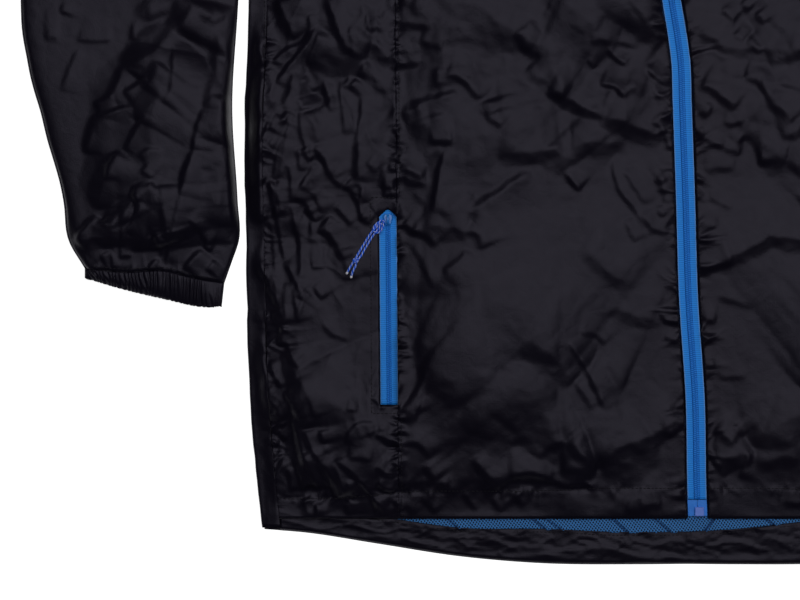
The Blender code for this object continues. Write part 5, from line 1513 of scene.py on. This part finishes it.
def build_slider(half, word, material):
    """A pocket slider: a wedge-shaped crown with rounded edges, under an arched bridge."""
    middle = slider_place(half)
    base = laid(middle[None])[0, 2] - 0.3
    outline = curve(CROWN, 14)
    outline = np.vstack([outline, mirrored(outline)[-2:0:-1]])
    points = [(x * share, v * share, z) for z, share in CROWN_STEPS for x, v in outline]
    index = np.arange(len(points)).reshape(len(CROWN_STEPS), -1)
    faces = [face[::-1] for face in skin(index)]
    arch, sides = curve(BRIDGE, 16), 8
    index = len(points) + np.arange(len(arch) * sides).reshape(-1, sides)
    for (z, v), (way_z, way_v) in zip(arch, directions(arch)):
        for turn in 2 * np.pi * np.arange(sides) / sides:
            off = BRIDGE_THICK * math.sin(turn)
            points.append((BRIDGE_HALF * math.cos(turn), v - off * way_z,
                           BRIDGE_FOOT + z + off * way_v))
    mesh = bpy.data.meshes.new(f"pocket_slide_{word}")
    mesh.from_pydata(placed(np.array(points) + (*middle, base)).tolist(), [], faces + skin(index))
    return piece(f"pocket_slide_{word}", mesh, [f"pocket_slider_{word}"], material)


def smooth_loop(values):
    """Numbers round a closed loop, eight between each two and softened."""
    count = len(values)
    dense = np.interp(np.arange(8 * count) / 8, np.arange(count + 1), [*values, values[0]])
    for _ in range(3):
        dense = sum(np.roll(dense, shift) for shift in range(-3, 4)) / 7
    return dense


def build_pull(half, word, materials, relief):
    """A pocket's pull: one cord hitched on the slider, knotted, with two sealed free ends."""
    radius, cord_look = CORD / 2, materials["cord"]
    knot_at = over(half, [KNOT], relief, 0)[0]
    t = np.linspace(0, 2 * np.pi, 60, endpoint=False)
    trefoil = np.column_stack([np.sin(t) + 2 * np.sin(2 * t), np.cos(t) - 2 * np.cos(2 * t),
                               -np.sin(3 * t)]) / (3, 3, 1)
    path = knot_at + (0, 0, KNOT_SIZE[2] / 2) + trefoil * (np.array(KNOT_SIZE) / 2 - radius)
    knot = tube(f"cord_knot_{word}", path, radius, cord_look, [f"pull_knot_{word}"],
                sides=8, closed=True)
    loop = over(half, HITCH_LOOP, relief, radius)
    loop = np.array([smooth_loop(loop[:, k]) for k in range(3)]).T
    hitch = tube(f"cord_hitch_{word}", loop, radius * 0.9, cord_look,
                 [f"pull_hitch_{word}"], sides=8, closed=True)
    for number, spots in enumerate(STRANDS, 1):
        route = over(half, spots, relief, radius)
        v, x = curve(route[:, [1, 0]], 90).T
        path = np.column_stack([x, v, curve(route[:, [1, 2]], 90)[:, 1]])
        cord = tube(f"pull_cord_{word}_{number}", path, radius, cord_look,
                    [f"pull_strand_{word}_{number}", f"pull_tail_{word}_{number}"])
        way = path[-1] - path[-4]
        way /= np.linalg.norm(way)
        steps = np.linspace(-1, 1, 9)
        tip = tube(f"cord_tip_{word}_{number}",
                   path[-1] + way * (1.0 + TIP_LONG * steps[:, None]),
                   TIP_RADIUS * np.sqrt(np.clip(1 - steps ** 2, 0.02, 1)), materials["tip"],
                   [f"pull_tip_{word}_{number}"])


# ---------------------------------------------------------------- the jacket

def build():
    """Every piece of the jacket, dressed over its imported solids."""
    nylon = black_nylon()
    materials = {
        "tape": blue_tape(),
        # Melt-spun coil: smoother than the tape, so each turn takes a small highlight.
        "coil": dyed("nylon coil, melt spun, blue", "#1c80e6", "#3494f2", 0.45, 0.002, 0.0001,
                     Specular_IOR_Level=0.4),
        # The cord that the coil is sewn round: fluffy yarn, matt.
        "bed": dyed("polyester yarn, knitted, blue", "#1268c4", "#1874d2", 0.7, 0.001,
                    0.0002, Specular_IOR_Level=0.2),
        "cord": braided_cord(),
        # The cord's cut ends, melted shut: pale, slightly waxy drops.
        "tip": dyed("polyester, melt sealed, off white", "#e9e6ee", "#d8d6e2", 0.4, 0.001, 0.0001),
        # Die-cast sliders under a thick smooth enamel that takes sharp highlights.
        "enamel": dyed("zinc alloy, die cast and enamelled, blue", "#1f7ad6", "#2b86e0", 0.22,
                       0.004, 0.00002),
    }
    # Spun sewing thread: fluffier and a shade lighter than the cloth.
    thread = dyed("polyester thread, spun, black", "#0d0b13", "#15131c", 0.6, 0.001, 0.0001,
                  Specular_IOR_Level=0.25)
    relief = make_relief()
    stitches = build_stitches(relief, thread)
    for half, word in HALVES:
        front = shell(f"centre_front_{word}", front_grid(half, relief), nylon,
                      [f"front_{word}"])
        grid, keep = side_grid(half, relief)
        side = shell(f"side_front_{word}", grid, nylon, [f"side_{word}"], keep=keep)
        sleeve = shell(f"whole_sleeve_{word}", sleeve_grid(half, relief), nylon,
                       [f"sleeve_{word}"], grain=-half * 12)
        cuff = shell(f"elastic_cuff_{word}", cuff_grid(half), nylon, [f"cuff_{word}"],
                     ring=True, grain=-half * 12)
        build_pocket_zip(half, word, materials)
        build_slider(half, word, materials["enamel"])
        build_pull(half, word, materials, relief)
    grid, keep = back_grid(relief)
    back = shell("whole_back", grid, nylon, ["back"], keep=keep)
    turned = shell("turned_up_hem", back_hem_grid(), nylon, ["back_hem"])
    # The lining's crease shares become painted shade in its colour.
    net, crease_shade = lining_grid()
    lining = shell("mesh_lining", net, knitted_mesh(), ["lining"], grain=8, across=crease_shade)
    collar = shell("stand_collar", collar_grid(relief), nylon, ["collar"])
    build_zip(materials)
    # Bonded film at the zip's foot: smooth and faintly glossy over the tape's weave.
    film = dyed("polyurethane film, heat bonded, blue", "#1f7ae2", "#2f8cf4", 0.35, 0.003, 0.00005)
    # Moulded retainer box and end stops: plain acetal with a soft sheen.
    acetal = dyed("acetal, injection moulded, lilac blue", "#4a70d4", "#6a90ee", 0.38, 0.003,
                  0.00003)
    finishes = {"zip_foot_left": film, "zip_foot_right": film, "zip_box": acetal,
                "zip_stop_left": acetal, "zip_stop_right": acetal,
                "zip_slider": materials["enamel"], "zip_pull": materials["enamel"]}
    for name, material in finishes.items():
        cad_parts[name].data.materials.clear()
        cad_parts[name].data.materials.append(material)


set_stage()
build()
